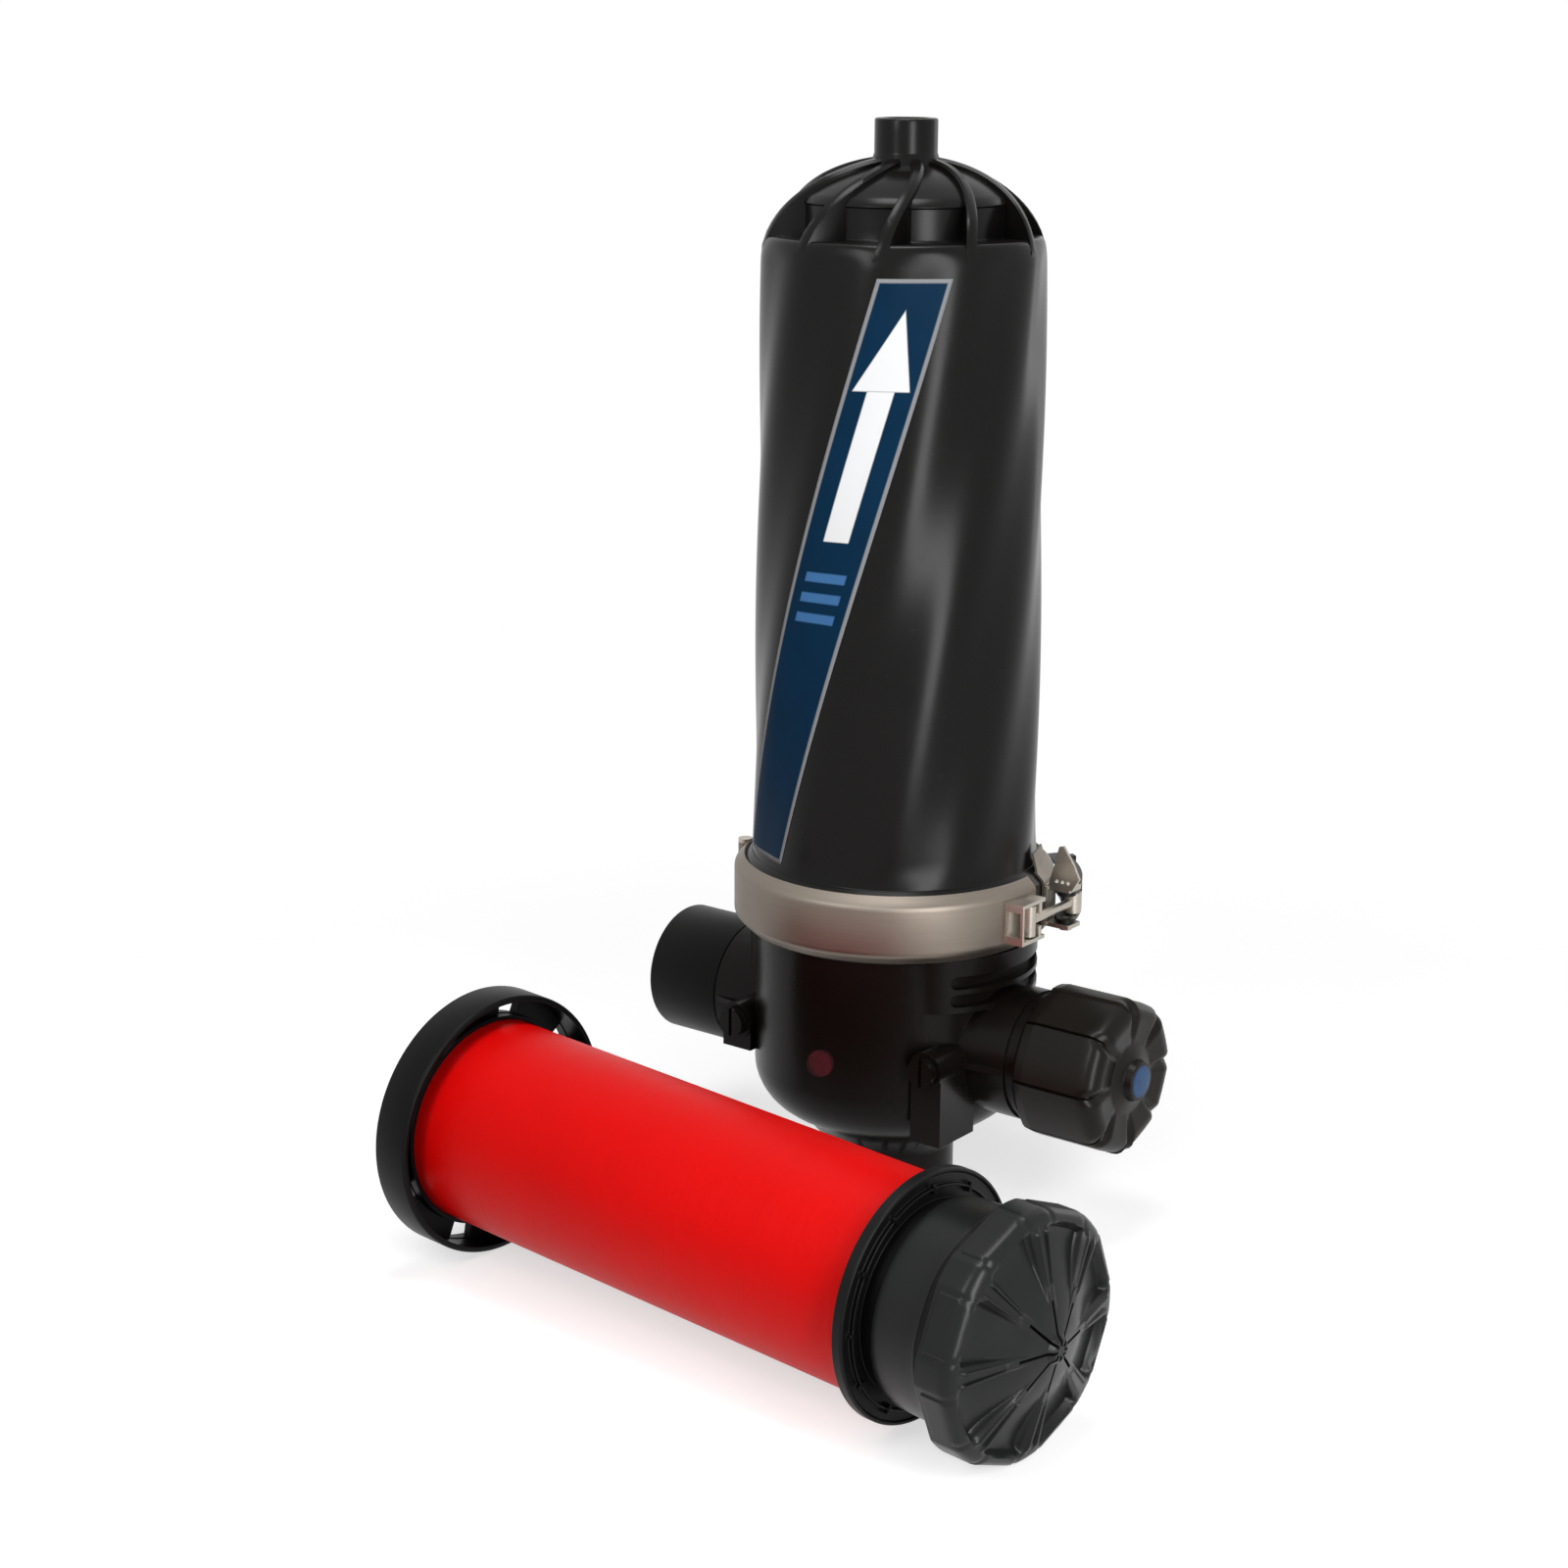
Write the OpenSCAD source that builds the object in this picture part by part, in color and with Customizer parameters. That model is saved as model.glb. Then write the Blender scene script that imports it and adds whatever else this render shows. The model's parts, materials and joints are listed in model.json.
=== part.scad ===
// Irrigation disc filter: a standing housing, and its disc cartridge taken out and laid in front of it.
// The origin is the centre of the bottom port's end. +Z is up, and the capped side port points along +X.

/* [Ports] */
// Outside diameter of the pipe stubs
pipe_d = 90; // [88:0.5:92]
// Bore of the three ports
port_bore_d = 76; // [70:1:78]
// Height of the side ports' axis
port_z = 115; // [113:0.5:118]
// Reach of the open side port from the housing's axis
inlet_reach = 183; // [178:1:200]
// Length of the smooth sleeve on the open side port
sleeve_len = 60; // [50:1:62]
// Reach of the capped side port's threaded stub
stub_reach = 176; // [172:1:184]
// Diameter of that stub's thread
stub_thread_d = 86; // [84:1:88]

/* [Bowl] */
// Outside diameter of the bowl
bowl_d = 190; // [188:1:192]
// Wall of the mouldings
wall = 5.5; // [5:0.1:6]
// Height of the seat that carries the cartridge
seat_z = 165; // [160:1:170]

/* [Lid] */
// Diameter of the wall just above the clamp
lid_base_d = 195; // [192:1:197]
// Diameter of the wall at the shoulder
lid_top_d = 187; // [184:1:190]
// Height where the shoulder starts to turn in
shoulder_z = 635; // [625:1:660]
// Height of the dome over the shoulder
dome_h = 68; // [64:1:74]
// Height of the nozzle's top
nozzle_top_z = 726; // [722:1:745]
// Outside diameter of the nozzle
nozzle_d = 41; // [39:0.5:44]
// Bore of the nozzle's thread
nozzle_bore_d = 30; // [26:0.5:31]
// Ridges on the wall, and fins on the dome
ridge_count = 10; // [8:1:12]
// Depth of the hollows between the ridges
ridge_depth = 2; // [0.5:0.1:2.5]
// Turn of the ridges for each 100 mm of height, in degrees
ridge_turn = 18; // [10:1:20]

/* [Clamp] */
// Outside radius of the band
band_r = 109.6; // [109:0.1:111]
// Height of the band's straight wall, corner to corner
band_h = 33; // [31:0.5:35]
// Height of the band's lower corner
clamp_z = 195; // [193:1:198]
// Thickness of the sheet
band_t = 1.6; // [1.2:0.1:2]

/* [Cartridge] */
// Outside radius of the base ring
ring_r = 87; // [86:0.5:88]
// Width of the base ring
ring_w = 28; // [24:1:36]
// Radius of the discs
disc_r = 67.5; // [66:0.5:68]
// Length of the pressed stack of discs
stack_len = 369; // [350:1:375]
// Grooves seen along the stack
groove_count = 92; // [40:1:110]
// Outside radius of the pressure plate
plate_r = 77; // [75:0.5:78]
// Outside radius of the end cap's rim, at its corners
cap_r = 76.5; // [75:0.5:77]
// Flats round the end cap
cap_panels = 8; // [6:1:10]
// Where the middle of the ring's back lies, along X
lying_x = -149; // [-160:1:-130]
// Where the middle of the ring's back lies, along Y
lying_y = -262; // [-300:1:-255]
// Turn of the lying cartridge from the X axis, in degrees
lying_turn = -4.3; // [-6:0.1:0]

/* [Hidden] */
$fn = 96;

black = "#1c1c1f";
rubber = "#0d0d0e";
steel = "#c6c9cd";
red = "#d8170d";

// Gap between faces that slide or turn on each other
gap = 0.3;
pipe_r = pipe_d / 2;
bore_r = port_bore_d / 2;
bowl_r = bowl_d / 2;
base_r = lid_base_d / 2;
top_r = lid_top_d / 2;
nozzle_r = nozzle_d / 2;
thread_r = stub_thread_d / 2;
split_z = clamp_z + band_h / 2;

// The sheet's bend, and the straight part of its lip
bend_r = 6;
lip_len = 7;
bend_z = band_h / 2 - bend_r * tan(22.5);
flange_r = band_r - band_t - 0.5;
// Sum of radius and height along the inside of a lip, measured from the split
lip_sum = band_r - bend_r + bend_z + (bend_r - band_t) * sqrt(2);
flange_sum = lip_sum - 0.6;
lid_collar_r = base_r + 1.2;
seal_r = 100.5;
seal_w = 5.4;
seal_h = 4.4;

// Lowest point of the clamp's lips
lip_low_z = split_z - bend_z - (bend_r + lip_len) * sin(45);

bowl_centre_r = 50;
bowl_centre_z = 88;
bowl_drop = 40;
bottom_stub_len = 28;
chamber_floor_z = 60;
rim_step = 2;
rim_low_z = clamp_z - 9.5;
tube_r = pipe_r + 5.5;
neck_from = 60;
cap_neck_r = thread_r + 1.5;
cap_neck_end = 122;
inlet_neck_end = inlet_reach - sleeve_len - 1;
rib_from = bowl_r - 20;
rib_t = 4;
rib_reach = 8;
// The webs over the side necks bulge out of the bowl, with two pockets in each
web_r = flange_r - 3.5;
web_x = 26.7;
web_low_z = port_z + 35;
web_top_z = lip_low_z - 0.8;
pocket_r = 4.5;
pocket_a = 29;
pocket_z = [port_z + 43.5, port_z + 56];

// The shoulder turns in to a ledge, and the drum rises from the ledge to the roof
shoulder_in = 5.5;
ledge_z = shoulder_z + 17;
// The roof between the fins follows the dome, a little below it, out to the drum
roof_r = top_r - 3.5;
roof_h = dome_h - 4;
drum_a = 39.2;
drum_r = roof_r * cos(drum_a);
neck_a = acos((nozzle_r + 2) / roof_r);
fin_t = 8;
fin_proud = 0.4;
fin_swirl = 30;
fin_phase = -65;

hinge_a = 190;
hinge_r = band_r + 6.4;
hinge_pin_r = 3;
knuckle_r = 5;
knuckle_half = 14;
// Half the height of the middle knuckle
middle_half = 5.7;
leaf_a = 9;
front_end_a = 5.5;
rear_end_a = 12.5;
// The taller lip at both ends of the rear half
guard_h = 14;
guard_a = 14;
guard_lean = 3.6;
guard_r = band_r - 6.6;
guard_foot = bend_z + 7;
// Where the drawbolt's cross bar, its eye and the lever's pivot are, seen from above
tee = [band_r + 8, -10];
bolt_pin = [band_r + 8, 44];
lever_pivot = [band_r + 9.4, 33];
bolt_r = 3;
eye_r = 5.6;
cross_r = 4.2;
pivot_r = 2.5;
keeper_half = 14;
keeper_t = 2.5;
keeper_reach = 14.5;
keeper_from = -25;
keeper_edge = 3;
saddle_t = 2;
cheek_in = 8;
cheek_out = 11;
cheek_a = [16, 58];
lever_in = band_r + 5.4;
lever_out = band_r + 19.4;
lever_t = 3;
lever_back_a = 29;
grip_h = 18;
grip_reach = 7;
ear_in = 11.4;
ear_out = 14.4;
ear_from = 25.5;
ear_len = 15;
wing_t = 2;

cap_start = cap_neck_end + 10;
cap_rim = stub_reach + 16;
cap_apex = cap_rim + 10;
cap_body_r = thread_r + 5.5;
grip_r = thread_r + 8.5;
grip_lobes = 8;
// Width of the grooves between the lobes, in degrees
groove_a = 4;
spot_r = 11;
gasket_t = 3.4;

boss_x = 80;
boss_y = -74;
boss_root = 40;
boss_r = 13;
foot_w = 24;
foot_d = 40;
inlet_foot_h = 20;
outlet_foot_h = 52;
plug_r = 6.5;
plug_len = 14;
plug_head_r = 10;
plug_head_h = 4.4;
plug_seal_h = 1.6;
slot_w = 2.6;

spigot_r = 44;
spigot_len = 24;
disc_bore_r = 44;
stack_s = 8.3;
plate_s = stack_s + stack_len + gap;
hub_bore_r = 36;
rod_r = 12;
rod_len = 108;
rod_root = 24;
nut_r = 18;
nut_h = 17.9;
// The thin ring wall on the pressure plate, its ticks, and the plate's own thickness
fence_r = 68;
fence_t = 1.4;
tick_reach = 3;
plate_t = 6;
fence_top = 9;
skirt_s = plate_s + 18;
skirt_in_r = 59.2;
panel_s = plate_s + 59;
rim_s = plate_s + 83;
apex_s = plate_s + 103;
seat_face_s = plate_s + 72;
seat_half_w = 14;
cap_boss_r = 20;
// The end cap's rim is a circle cut flat between its corners, with a rounded front edge and pads
cap_flat_r = cap_r - 3.2;
cap_round_r = 8;
cap_round_s = rim_s - 6.5;
pad_half_a = 13;
pad_proud = 1.2;

// How the cartridge lies: on the ring's front edge and on a corner of the cap's rim
ring_touch_s = ring_w - 2;
lying_tilt = atan((ring_r - cap_r) / (cap_round_s - ring_touch_s));
lying_z = ring_touch_s * sin(lying_tilt) + ring_r * cos(lying_tilt);

function reversed(list) = [for (i = [len(list) - 1 : -1 : 0]) list[i]];
function flipped(list) = [for (p = list) [p[0], -p[1]]];
function arc(x, y, r, from, to, steps) =
    [for (i = [0 : steps]) let (a = from + (to - from) * i / steps) [x + r * cos(a), y + r * sin(a)]];

// A solid of revolution about a vertical axis
module turned(points, angle = 360) {
    rotate_extrude(angle = angle) polygon(points);
}

// A ring between two radii and two heights
module ring(inner, outer, from, to) {
    turned([[inner, from], [outer, from], [outer, to], [inner, to]]);
}

// A sector of such a ring
module sector(inner, outer, from, to, start, end) {
    rotate([0, 0, start])
        turned([[inner, from], [outer, from], [outer, to], [inner, to]], end - start);
}

// A cylinder along +X
module bar_x(r, from, to) {
    translate([from, 0, port_z]) rotate([0, 90, 0]) cylinder(r = r, h = to - from);
}

// Turns shapes drawn about +Z so that they lie along +X at the side ports
module along_port() {
    translate([0, 0, port_z]) rotate([0, 90, 0]) children();
}

// Lays shapes drawn along +Z on the floor, cap end towards +X
module lying() {
    translate([lying_x, lying_y, lying_z]) rotate([0, 90 + lying_tilt, lying_turn]) children();
}

// Lid

shell_rings = 15;
shell_sides = ridge_count * 6;
shell_from = split_z + 20;
round_steps = 3;

// Radius of the wall at a height, without its ridges
function wall_r(z) = base_r + (top_r - base_r) * (z - split_z - 25) / (shoulder_z - split_z - 25);
// Height and radius of each ring of points, ending with the rounded shoulder
function shell_z(i) = i < shell_rings
    ? shell_from + (shoulder_z - shell_from) * i / (shell_rings - 1)
    : shoulder_z + (ledge_z - shoulder_z) * sin(90 * (i - shell_rings + 1) / round_steps);
function shell_r(i) = i < shell_rings
    ? wall_r(shell_z(i))
    : top_r - shoulder_in * (1 - cos(90 * (i - shell_rings + 1) / round_steps));
function ridge_angle(z) = (z - shoulder_z) * ridge_turn / 100;
function ridge_dip(angle, z) =
    ridge_depth * (1 - cos(ridge_count * (angle - fin_phase - ridge_angle(z)))) / 2;
function shell_point(i, k) =
    let (a = 360 * k / shell_sides, z = shell_z(i), r = shell_r(i) - ridge_dip(a, z))
    [r * cos(a), r * sin(a), z];

// The wall with its helical ridges
module ridged_wall() {
    rings = shell_rings + round_steps;
    points = [for (i = [0 : rings - 1]) for (k = [0 : shell_sides - 1]) shell_point(i, k)];
    sides = [
        for (i = [0 : rings - 2]) for (k = [0 : shell_sides - 1])
            let (n = (k + 1) % shell_sides, a = i * shell_sides, b = a + shell_sides)
            each [[a + k, b + k, b + n], [a + k, b + n, a + n]]
    ];
    bottom = [for (k = [0 : shell_sides - 1]) k];
    top = [for (k = [shell_sides - 1 : -1 : 0]) (rings - 1) * shell_sides + k];
    polyhedron(points, concat(sides, [bottom, top]), convexity = 4);
}

// One fin seen from above, a curved strip from the nozzle to the shoulder
module fin_outline() {
    steps = 6;
    from = nozzle_r - 4;
    path = [
        for (i = [0 : steps])
            let (r = from + (top_r + 2 - from) * i / steps, a = fin_swirl * (1 - i / steps))
            [r * cos(a), r * sin(a)]
    ];
    left = [for (p = path) p + fin_t / 2 * [-sin(fin_swirl / 2), cos(fin_swirl / 2)]];
    right = [for (p = path) p - fin_t / 2 * [-sin(fin_swirl / 2), cos(fin_swirl / 2)]];
    polygon(concat(left, reversed(right)));
}

// A stretch of a quarter ellipse over the shoulder
function dome_curve(r, h, from, to, steps) =
    [for (i = [0 : steps]) let (a = from + (to - from) * i / steps) [r * cos(a), shoulder_z + h * sin(a)]];

// The dome that the fins reach up to
module dome() {
    turned(concat([[0, shoulder_z - 12]], [[top_r - 4, shoulder_z - 12]],
        dome_curve(top_r + fin_proud, dome_h, 0, 80, 8), [[0, shoulder_z + dome_h * sin(80)]]));
}

module lid() {
    color(black) difference() {
        union() {
            turned([[80, split_z], [flange_r, split_z], [flange_r, split_z + flange_sum - flange_r],
                [lid_collar_r, split_z + flange_sum - lid_collar_r],
                [80, split_z + flange_sum - lid_collar_r]]);
            ridged_wall();
            turned(concat([[0, shoulder_z - 20], [drum_r, shoulder_z - 20]],
                dome_curve(roof_r, roof_h, drum_a, neck_a, 8),
                [[nozzle_r, shoulder_z + roof_h + 4], [nozzle_r, nozzle_top_z - 1],
                 [nozzle_r - 1, nozzle_top_z], [0, nozzle_top_z]]));
            intersection() {
                dome();
                for (i = [0 : ridge_count - 1])
                    rotate([0, 0, fin_phase + i * 360 / ridge_count])
                        translate([0, 0, shoulder_z - 10]) linear_extrude(dome_h + 16) fin_outline();
            }
        }
        turned(concat([[0, split_z - 1], [base_r - wall, split_z - 1], [base_r - wall, split_z + 25],
            [top_r - wall - 1, shoulder_z - 4], [top_r - wall - shoulder_in, ledge_z - wall],
            [drum_r - wall, ledge_z - wall]],
            dome_curve(roof_r - wall, roof_h - wall, drum_a, 75, 6),
            [[0, shoulder_z + (roof_h - wall) * sin(75)]]));
        translate([0, 0, shoulder_z + 40]) cylinder(d = nozzle_bore_d, h = nozzle_top_z);
    }
}

// Body

// The bowl's outside, or its inside when the wall is taken off
function bowl_curve(off, from, to, steps) = [
    for (i = [0 : steps]) let (a = from + (to - from) * i / steps)
        [bowl_centre_r + (bowl_r - bowl_centre_r - off) * cos(a),
         bowl_centre_z - (bowl_drop - off) * sin(a)]
];

// The bulge of webs over a side neck, with its two long pockets
module neck_webs() {
    difference() {
        translate([web_x, 0, web_low_z]) cylinder(r = web_r - web_x, h = web_top_z - web_low_z);
        for (z = pocket_z) {
            sector(bowl_r + 0.3, web_r + 5, z - pocket_r, z + pocket_r, -pocket_a, pocket_a);
            for (a = [-pocket_a, pocket_a])
                rotate([0, 0, a]) translate([bowl_r + 0.3, 0, z]) rotate([0, 90, 0])
                    cylinder(r = pocket_r, h = 20, $fn = 32);
        }
    }
}

// The neck of a side port, drawn along +X, with a tapering rib on its front
module neck(r, end) {
    bar_x(r, neck_from, end);
    translate([0, 0, port_z - rib_t / 2]) linear_extrude(rib_t)
        polygon([[rib_from, -r + 5], [rib_from, -r - rib_reach], [end - 2, -r - 0.5], [end - 2, -r + 5]]);
}

// Boss for a gauge, pointing along -Y
module gauge_boss(x, foot_h) {
    translate([x, -boss_root, port_z]) rotate([90, 0, 0])
        cylinder(r = boss_r, h = -boss_y - boss_root, $fn = 64);
    translate([x - foot_w / 2, boss_y + 1.5, port_z - foot_h]) cube([foot_w, foot_d, foot_h]);
}

module body() {
    color(black) difference() {
        union() {
            turned(concat(
                [[0, 0], [pipe_r, 0], [pipe_r, bottom_stub_len]],
                bowl_curve(0, 72, 0, 8),
                [[bowl_r, rim_low_z], [bowl_r + rim_step, rim_low_z],
                 [bowl_r + rim_step, split_z - flange_sum + bowl_r + rim_step],
                 [flange_r, split_z - flange_sum + flange_r], [flange_r, split_z], [0, split_z]]));
            neck(cap_neck_r, cap_neck_end);
            mirror([1, 0, 0]) neck(pipe_r, inlet_neck_end);
            neck_webs();
            mirror([1, 0, 0]) neck_webs();
            bar_x(thread_r, neck_from, stub_reach);
            bar_x(pipe_r - 4, -inlet_reach + 1.5, -neck_from);
            gauge_boss(boss_x, outlet_foot_h);
            gauge_boss(-boss_x, inlet_foot_h);
        }
        // The chamber round the seat tube
        turned(concat([[tube_r, chamber_floor_z]], bowl_curve(wall, 66, 0, 8),
            [[bowl_r - wall, split_z + 1], [0, split_z + 1], [0, seat_z], [tube_r, seat_z]]));
        translate([0, 0, -1]) cylinder(r = bore_r, h = seat_z + 2);
        translate([0, 0, seat_z - spigot_len - 4]) cylinder(r = spigot_r + 0.4, h = spigot_len + 5);
        bar_x(bore_r, 64, stub_reach + 1);
        bar_x(bore_r, -inlet_reach - 1, -64);
        ring(seal_r - seal_w / 2 - 0.4, seal_r + seal_w / 2 + 0.4, split_z - seal_h - 0.05, split_z + 1);
        for (x = [-boss_x, boss_x])
            translate([x, boss_y + 16, port_z]) rotate([90, 0, 0]) cylinder(r = plug_r + 0.05, h = 20);
    }
}

module lid_seal() {
    c = 1.4;
    color(rubber) turned([
        [seal_r - seal_w / 2, split_z - seal_h + c], [seal_r - seal_w / 2 + c, split_z - seal_h],
        [seal_r + seal_w / 2 - c, split_z - seal_h], [seal_r + seal_w / 2, split_z - seal_h + c],
        [seal_r + seal_w / 2, split_z - c], [seal_r + seal_w / 2 - c, split_z - 0.05],
        [seal_r - seal_w / 2 + c, split_z - 0.05], [seal_r - seal_w / 2, split_z - c]
    ]);
}

// Clamp

// One face of the sheet, from the straight wall round the bend to the lip's edge
function sheet_face(depth) = concat(
    arc(band_r - bend_r, bend_z, bend_r - depth, 0, 45, 4),
    [[band_r - bend_r + (bend_r - depth - lip_len) * cos(45),
      bend_z + (bend_r - depth + lip_len) * sin(45)]]
);
band_profile = concat(sheet_face(0), reversed(sheet_face(band_t)), flipped(sheet_face(band_t)),
    reversed(flipped(sheet_face(0))));

module band(from, to) {
    translate([0, 0, split_z]) rotate([0, 0, from]) turned(band_profile, to - from);
}

// One knuckle of the hinge, with the leaf that joins it to the band on one side
module knuckle(from, to, side) {
    rotate([0, 0, hinge_a]) difference() {
        union() {
            translate([hinge_r, 0, split_z + from]) cylinder(r = knuckle_r, h = to - from, $fn = 48);
            sector(band_r - 0.4, hinge_r - 3.4, split_z + from, split_z + to, min(0, side), max(0, side));
        }
        translate([hinge_r, 0, split_z - band_h]) cylinder(r = hinge_pin_r + 0.03, h = 2 * band_h, $fn = 48);
    }
}

// A stretch of lip that stands higher than the rest
module guard(from) {
    top = guard_foot + guard_h;
    translate([0, 0, split_z]) rotate([0, 0, from]) turned([
        [guard_r, guard_foot], [guard_r + band_t, guard_foot],
        [guard_r + band_t - guard_lean, top], [guard_r - guard_lean, top]
    ], guard_a);
}

module clamp_front_band() {
    color(steel) union() {
        band(hinge_a + 1, 360 + front_end_a);
        knuckle(-knuckle_half, -middle_half - gap, leaf_a);
        knuckle(middle_half + gap, knuckle_half, leaf_a);
    }
}

module clamp_rear_band() {
    color(steel) union() {
        band(rear_end_a, hinge_a - 1);
        knuckle(-middle_half, middle_half, -leaf_a);
        guard(rear_end_a + 0.5);
        guard(hinge_a - 1.5 - guard_a);
    }
}

module clamp_hinge_pin() {
    color(steel) rotate([0, 0, hinge_a]) translate([hinge_r, 0, split_z]) {
        translate([0, 0, -knuckle_half - 2]) cylinder(r = hinge_pin_r, h = 2 * knuckle_half + 2.5, $fn = 48);
        translate([0, 0, knuckle_half + gap]) cylinder(r = knuckle_r, h = 3, $fn = 48);
    }
}

// Latch

// What the band takes up, cut from the brackets that sit on it
module band_space() {
    r = band_r + 0.02;
    top = split_z + band_h / 2;
    rotate([0, 0, 180]) {
        translate([0, 0, top - 2 * band_h]) cylinder(r = r, h = 2 * band_h);
        translate([0, 0, top]) cylinder(r1 = r, r2 = r - band_h, h = band_h);
    }
}

module latch_keeper() {
    color(steel) difference() {
        union() {
            sector(band_r - 3, band_r + saddle_t,
                split_z - keeper_half + 1, split_z + keeper_half - 1, -13, 1.5);
            for (z = [-keeper_half, keeper_half - keeper_t])
                translate([band_r - 2, keeper_from, split_z + z]) cube([keeper_reach, 27, keeper_t]);
            translate([band_r - 2, tee[1] + 4.6, split_z - keeper_half])
                cube([keeper_reach, 3.4, 2 * keeper_half]);
            translate([band_r - 6, keeper_from, split_z - keeper_half])
                cube([keeper_reach + 4, 2, 2 * keeper_half]);
        }
        band_space();
        // The window in the end that faces the front
        translate([band_r - 1, keeper_from - 1, split_z - keeper_half + keeper_t + keeper_edge])
            cube([keeper_reach - keeper_edge, 4, 2 * (keeper_half - keeper_t - keeper_edge)]);
        // The slot that the drawbolt swings out of
        translate([band_r + 3, tee[1], split_z - bolt_r - 1.5]) cube([20, 20, 2 * bolt_r + 3]);
    }
}

// Two ears for the lever's pivots, and a leaf-shaped wing that stands above the band
module latch_base() {
    wing = [[0, 0], [19, 0], [24.5, 9], [20, 18], [11.5, 30], [8, 29], [4.5, 15]];
    color(steel) difference() {
        union() {
            sector(band_r - 3, band_r + saddle_t,
                split_z - ear_out + 1, split_z + ear_out - 1, rear_end_a, 27);
            for (z = [-ear_out, ear_in])
                translate([band_r - 8, ear_from, split_z + z]) cube([24, ear_len, ear_out - ear_in]);
            translate([band_r - 1, ear_from + wing_t, split_z + ear_out - 1]) rotate([90, 0, 0])
                linear_extrude(wing_t) polygon(wing);
        }
        band_space();
        translate([lever_pivot[0], lever_pivot[1], split_z - band_h])
            cylinder(r = pivot_r + 0.03, h = 2 * band_h, $fn = 48);
        for (x = [6, 10.5, 15])
            translate([band_r + x, ear_from + 5, split_z + ear_out + 4]) rotate([90, 0, 0])
                cylinder(r = 1.3, h = 9, $fn = 24);
    }
}

// A rivet through an ear and the lever's cheek
module lever_rivet(side) {
    color(steel) translate([lever_pivot[0], lever_pivot[1], split_z]) mirror([0, 0, side < 0 ? 1 : 0]) {
        translate([0, 0, cheek_in + 0.2]) cylinder(r = pivot_r, h = ear_out - cheek_in + 0.2, $fn = 48);
        translate([0, 0, ear_out + 0.05]) cylinder(r = pivot_r + 1.7, h = 1.8, $fn = 48);
    }
}

module lever_pin_upper() { lever_rivet(1); }

module lever_pin_lower() { lever_rivet(-1); }

module latch_lever() {
    color(black) difference() {
        union() {
            for (z = [-cheek_out, cheek_in]) {
                sector(lever_in, lever_out,
                    split_z + z, split_z + z + cheek_out - cheek_in, cheek_a[0], cheek_a[1]);
                translate([lever_pivot[0], lever_pivot[1], split_z + z])
                    cylinder(r = pivot_r + 4, h = cheek_out - cheek_in, $fn = 48);
            }
            sector(lever_out - lever_t, lever_out, split_z - cheek_out, split_z + cheek_out,
                lever_back_a, cheek_a[1]);
            sector(lever_out, lever_out + grip_reach, split_z - grip_h / 2, split_z + grip_h / 2,
                cheek_a[1] - 2.5, cheek_a[1]);
        }
        translate([lever_pivot[0], lever_pivot[1], split_z - band_h])
            cylinder(r = pivot_r + 0.05, h = 2 * band_h, $fn = 48);
        translate([bolt_pin[0], bolt_pin[1], split_z - band_h])
            cylinder(r = bolt_r + 0.03, h = 2 * band_h, $fn = 48);
    }
}

module tee_bolt_pin() {
    color(steel) translate([bolt_pin[0], bolt_pin[1], split_z - cheek_out])
        cylinder(r = bolt_r, h = 2 * cheek_out, $fn = 48);
}

// Cross bar, rod and eye of the drawbolt
module tee_bolt() {
    color(steel) difference() {
        union() {
            translate([tee[0], tee[1], split_z - keeper_half + keeper_t + 1])
                cylinder(r = cross_r, h = 2 * (keeper_half - keeper_t - 1), $fn = 48);
            translate([tee[0], tee[1], split_z]) rotate([-90, 0, 0])
                cylinder(r = bolt_r, h = bolt_pin[1] - tee[1], $fn = 48);
            translate([bolt_pin[0], bolt_pin[1], split_z - cheek_in + 1])
                cylinder(r = eye_r, h = 2 * (cheek_in - 1), $fn = 48);
        }
        translate([bolt_pin[0], bolt_pin[1], split_z - band_h])
            cylinder(r = bolt_r + 0.06, h = 2 * band_h, $fn = 48);
    }
}

// Side ports

module inlet_sleeve() {
    r = pipe_r - 4;
    from = inlet_reach - sleeve_len;
    color(black) mirror([1, 0, 0]) along_port() turned([
        [r + 0.03, from], [pipe_r, from], [pipe_r, inlet_reach - 2], [pipe_r - 0.6, inlet_reach - 0.6],
        [pipe_r - 2, inlet_reach], [r + 0.03, inlet_reach]
    ]);
}

module port_gasket() {
    color(rubber) along_port()
        ring(bore_r + 1, thread_r - 0.6, stub_reach + gap, stub_reach + gap + gasket_t);
}

// Lobed screw cap, closed at its outer end by a shallow cone
module port_cap() {
    inner_end = stub_reach + 2 * gap + gasket_t;
    round_r = 5;
    color(black) along_port() difference() {
        union() {
            turned(concat([[0, cap_start], [cap_body_r, cap_start]],
                arc(cap_body_r - round_r, cap_rim - 2 - round_r, round_r, 0, 75, 4),
                [[spot_r, cap_apex - 2.5], [spot_r - 1, cap_apex], [0, cap_apex]]));
            for (i = [0 : grip_lobes - 1]) rotate([0, 0, i * 360 / grip_lobes + groove_a / 2]) turned(concat(
                [[thread_r - 4, cap_start + 1], [grip_r - 1, cap_start + 1], [grip_r, cap_start + 6]],
                arc(grip_r - round_r, cap_rim - round_r, round_r, 0, 75, 4),
                [[spot_r + 4, cap_apex - 2], [spot_r + 4, cap_apex - 10]]), 360 / grip_lobes - groove_a);
            for (i = [0 : 3])
                sector(cap_body_r - 4, grip_r + 2, cap_start + 2, cap_rim - 8, i * 90 - 6, i * 90 + 6);
        }
        translate([0, 0, cap_start - 1]) cylinder(r = thread_r + 0.35, h = inner_end - cap_start + 1);
    }
}

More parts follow.
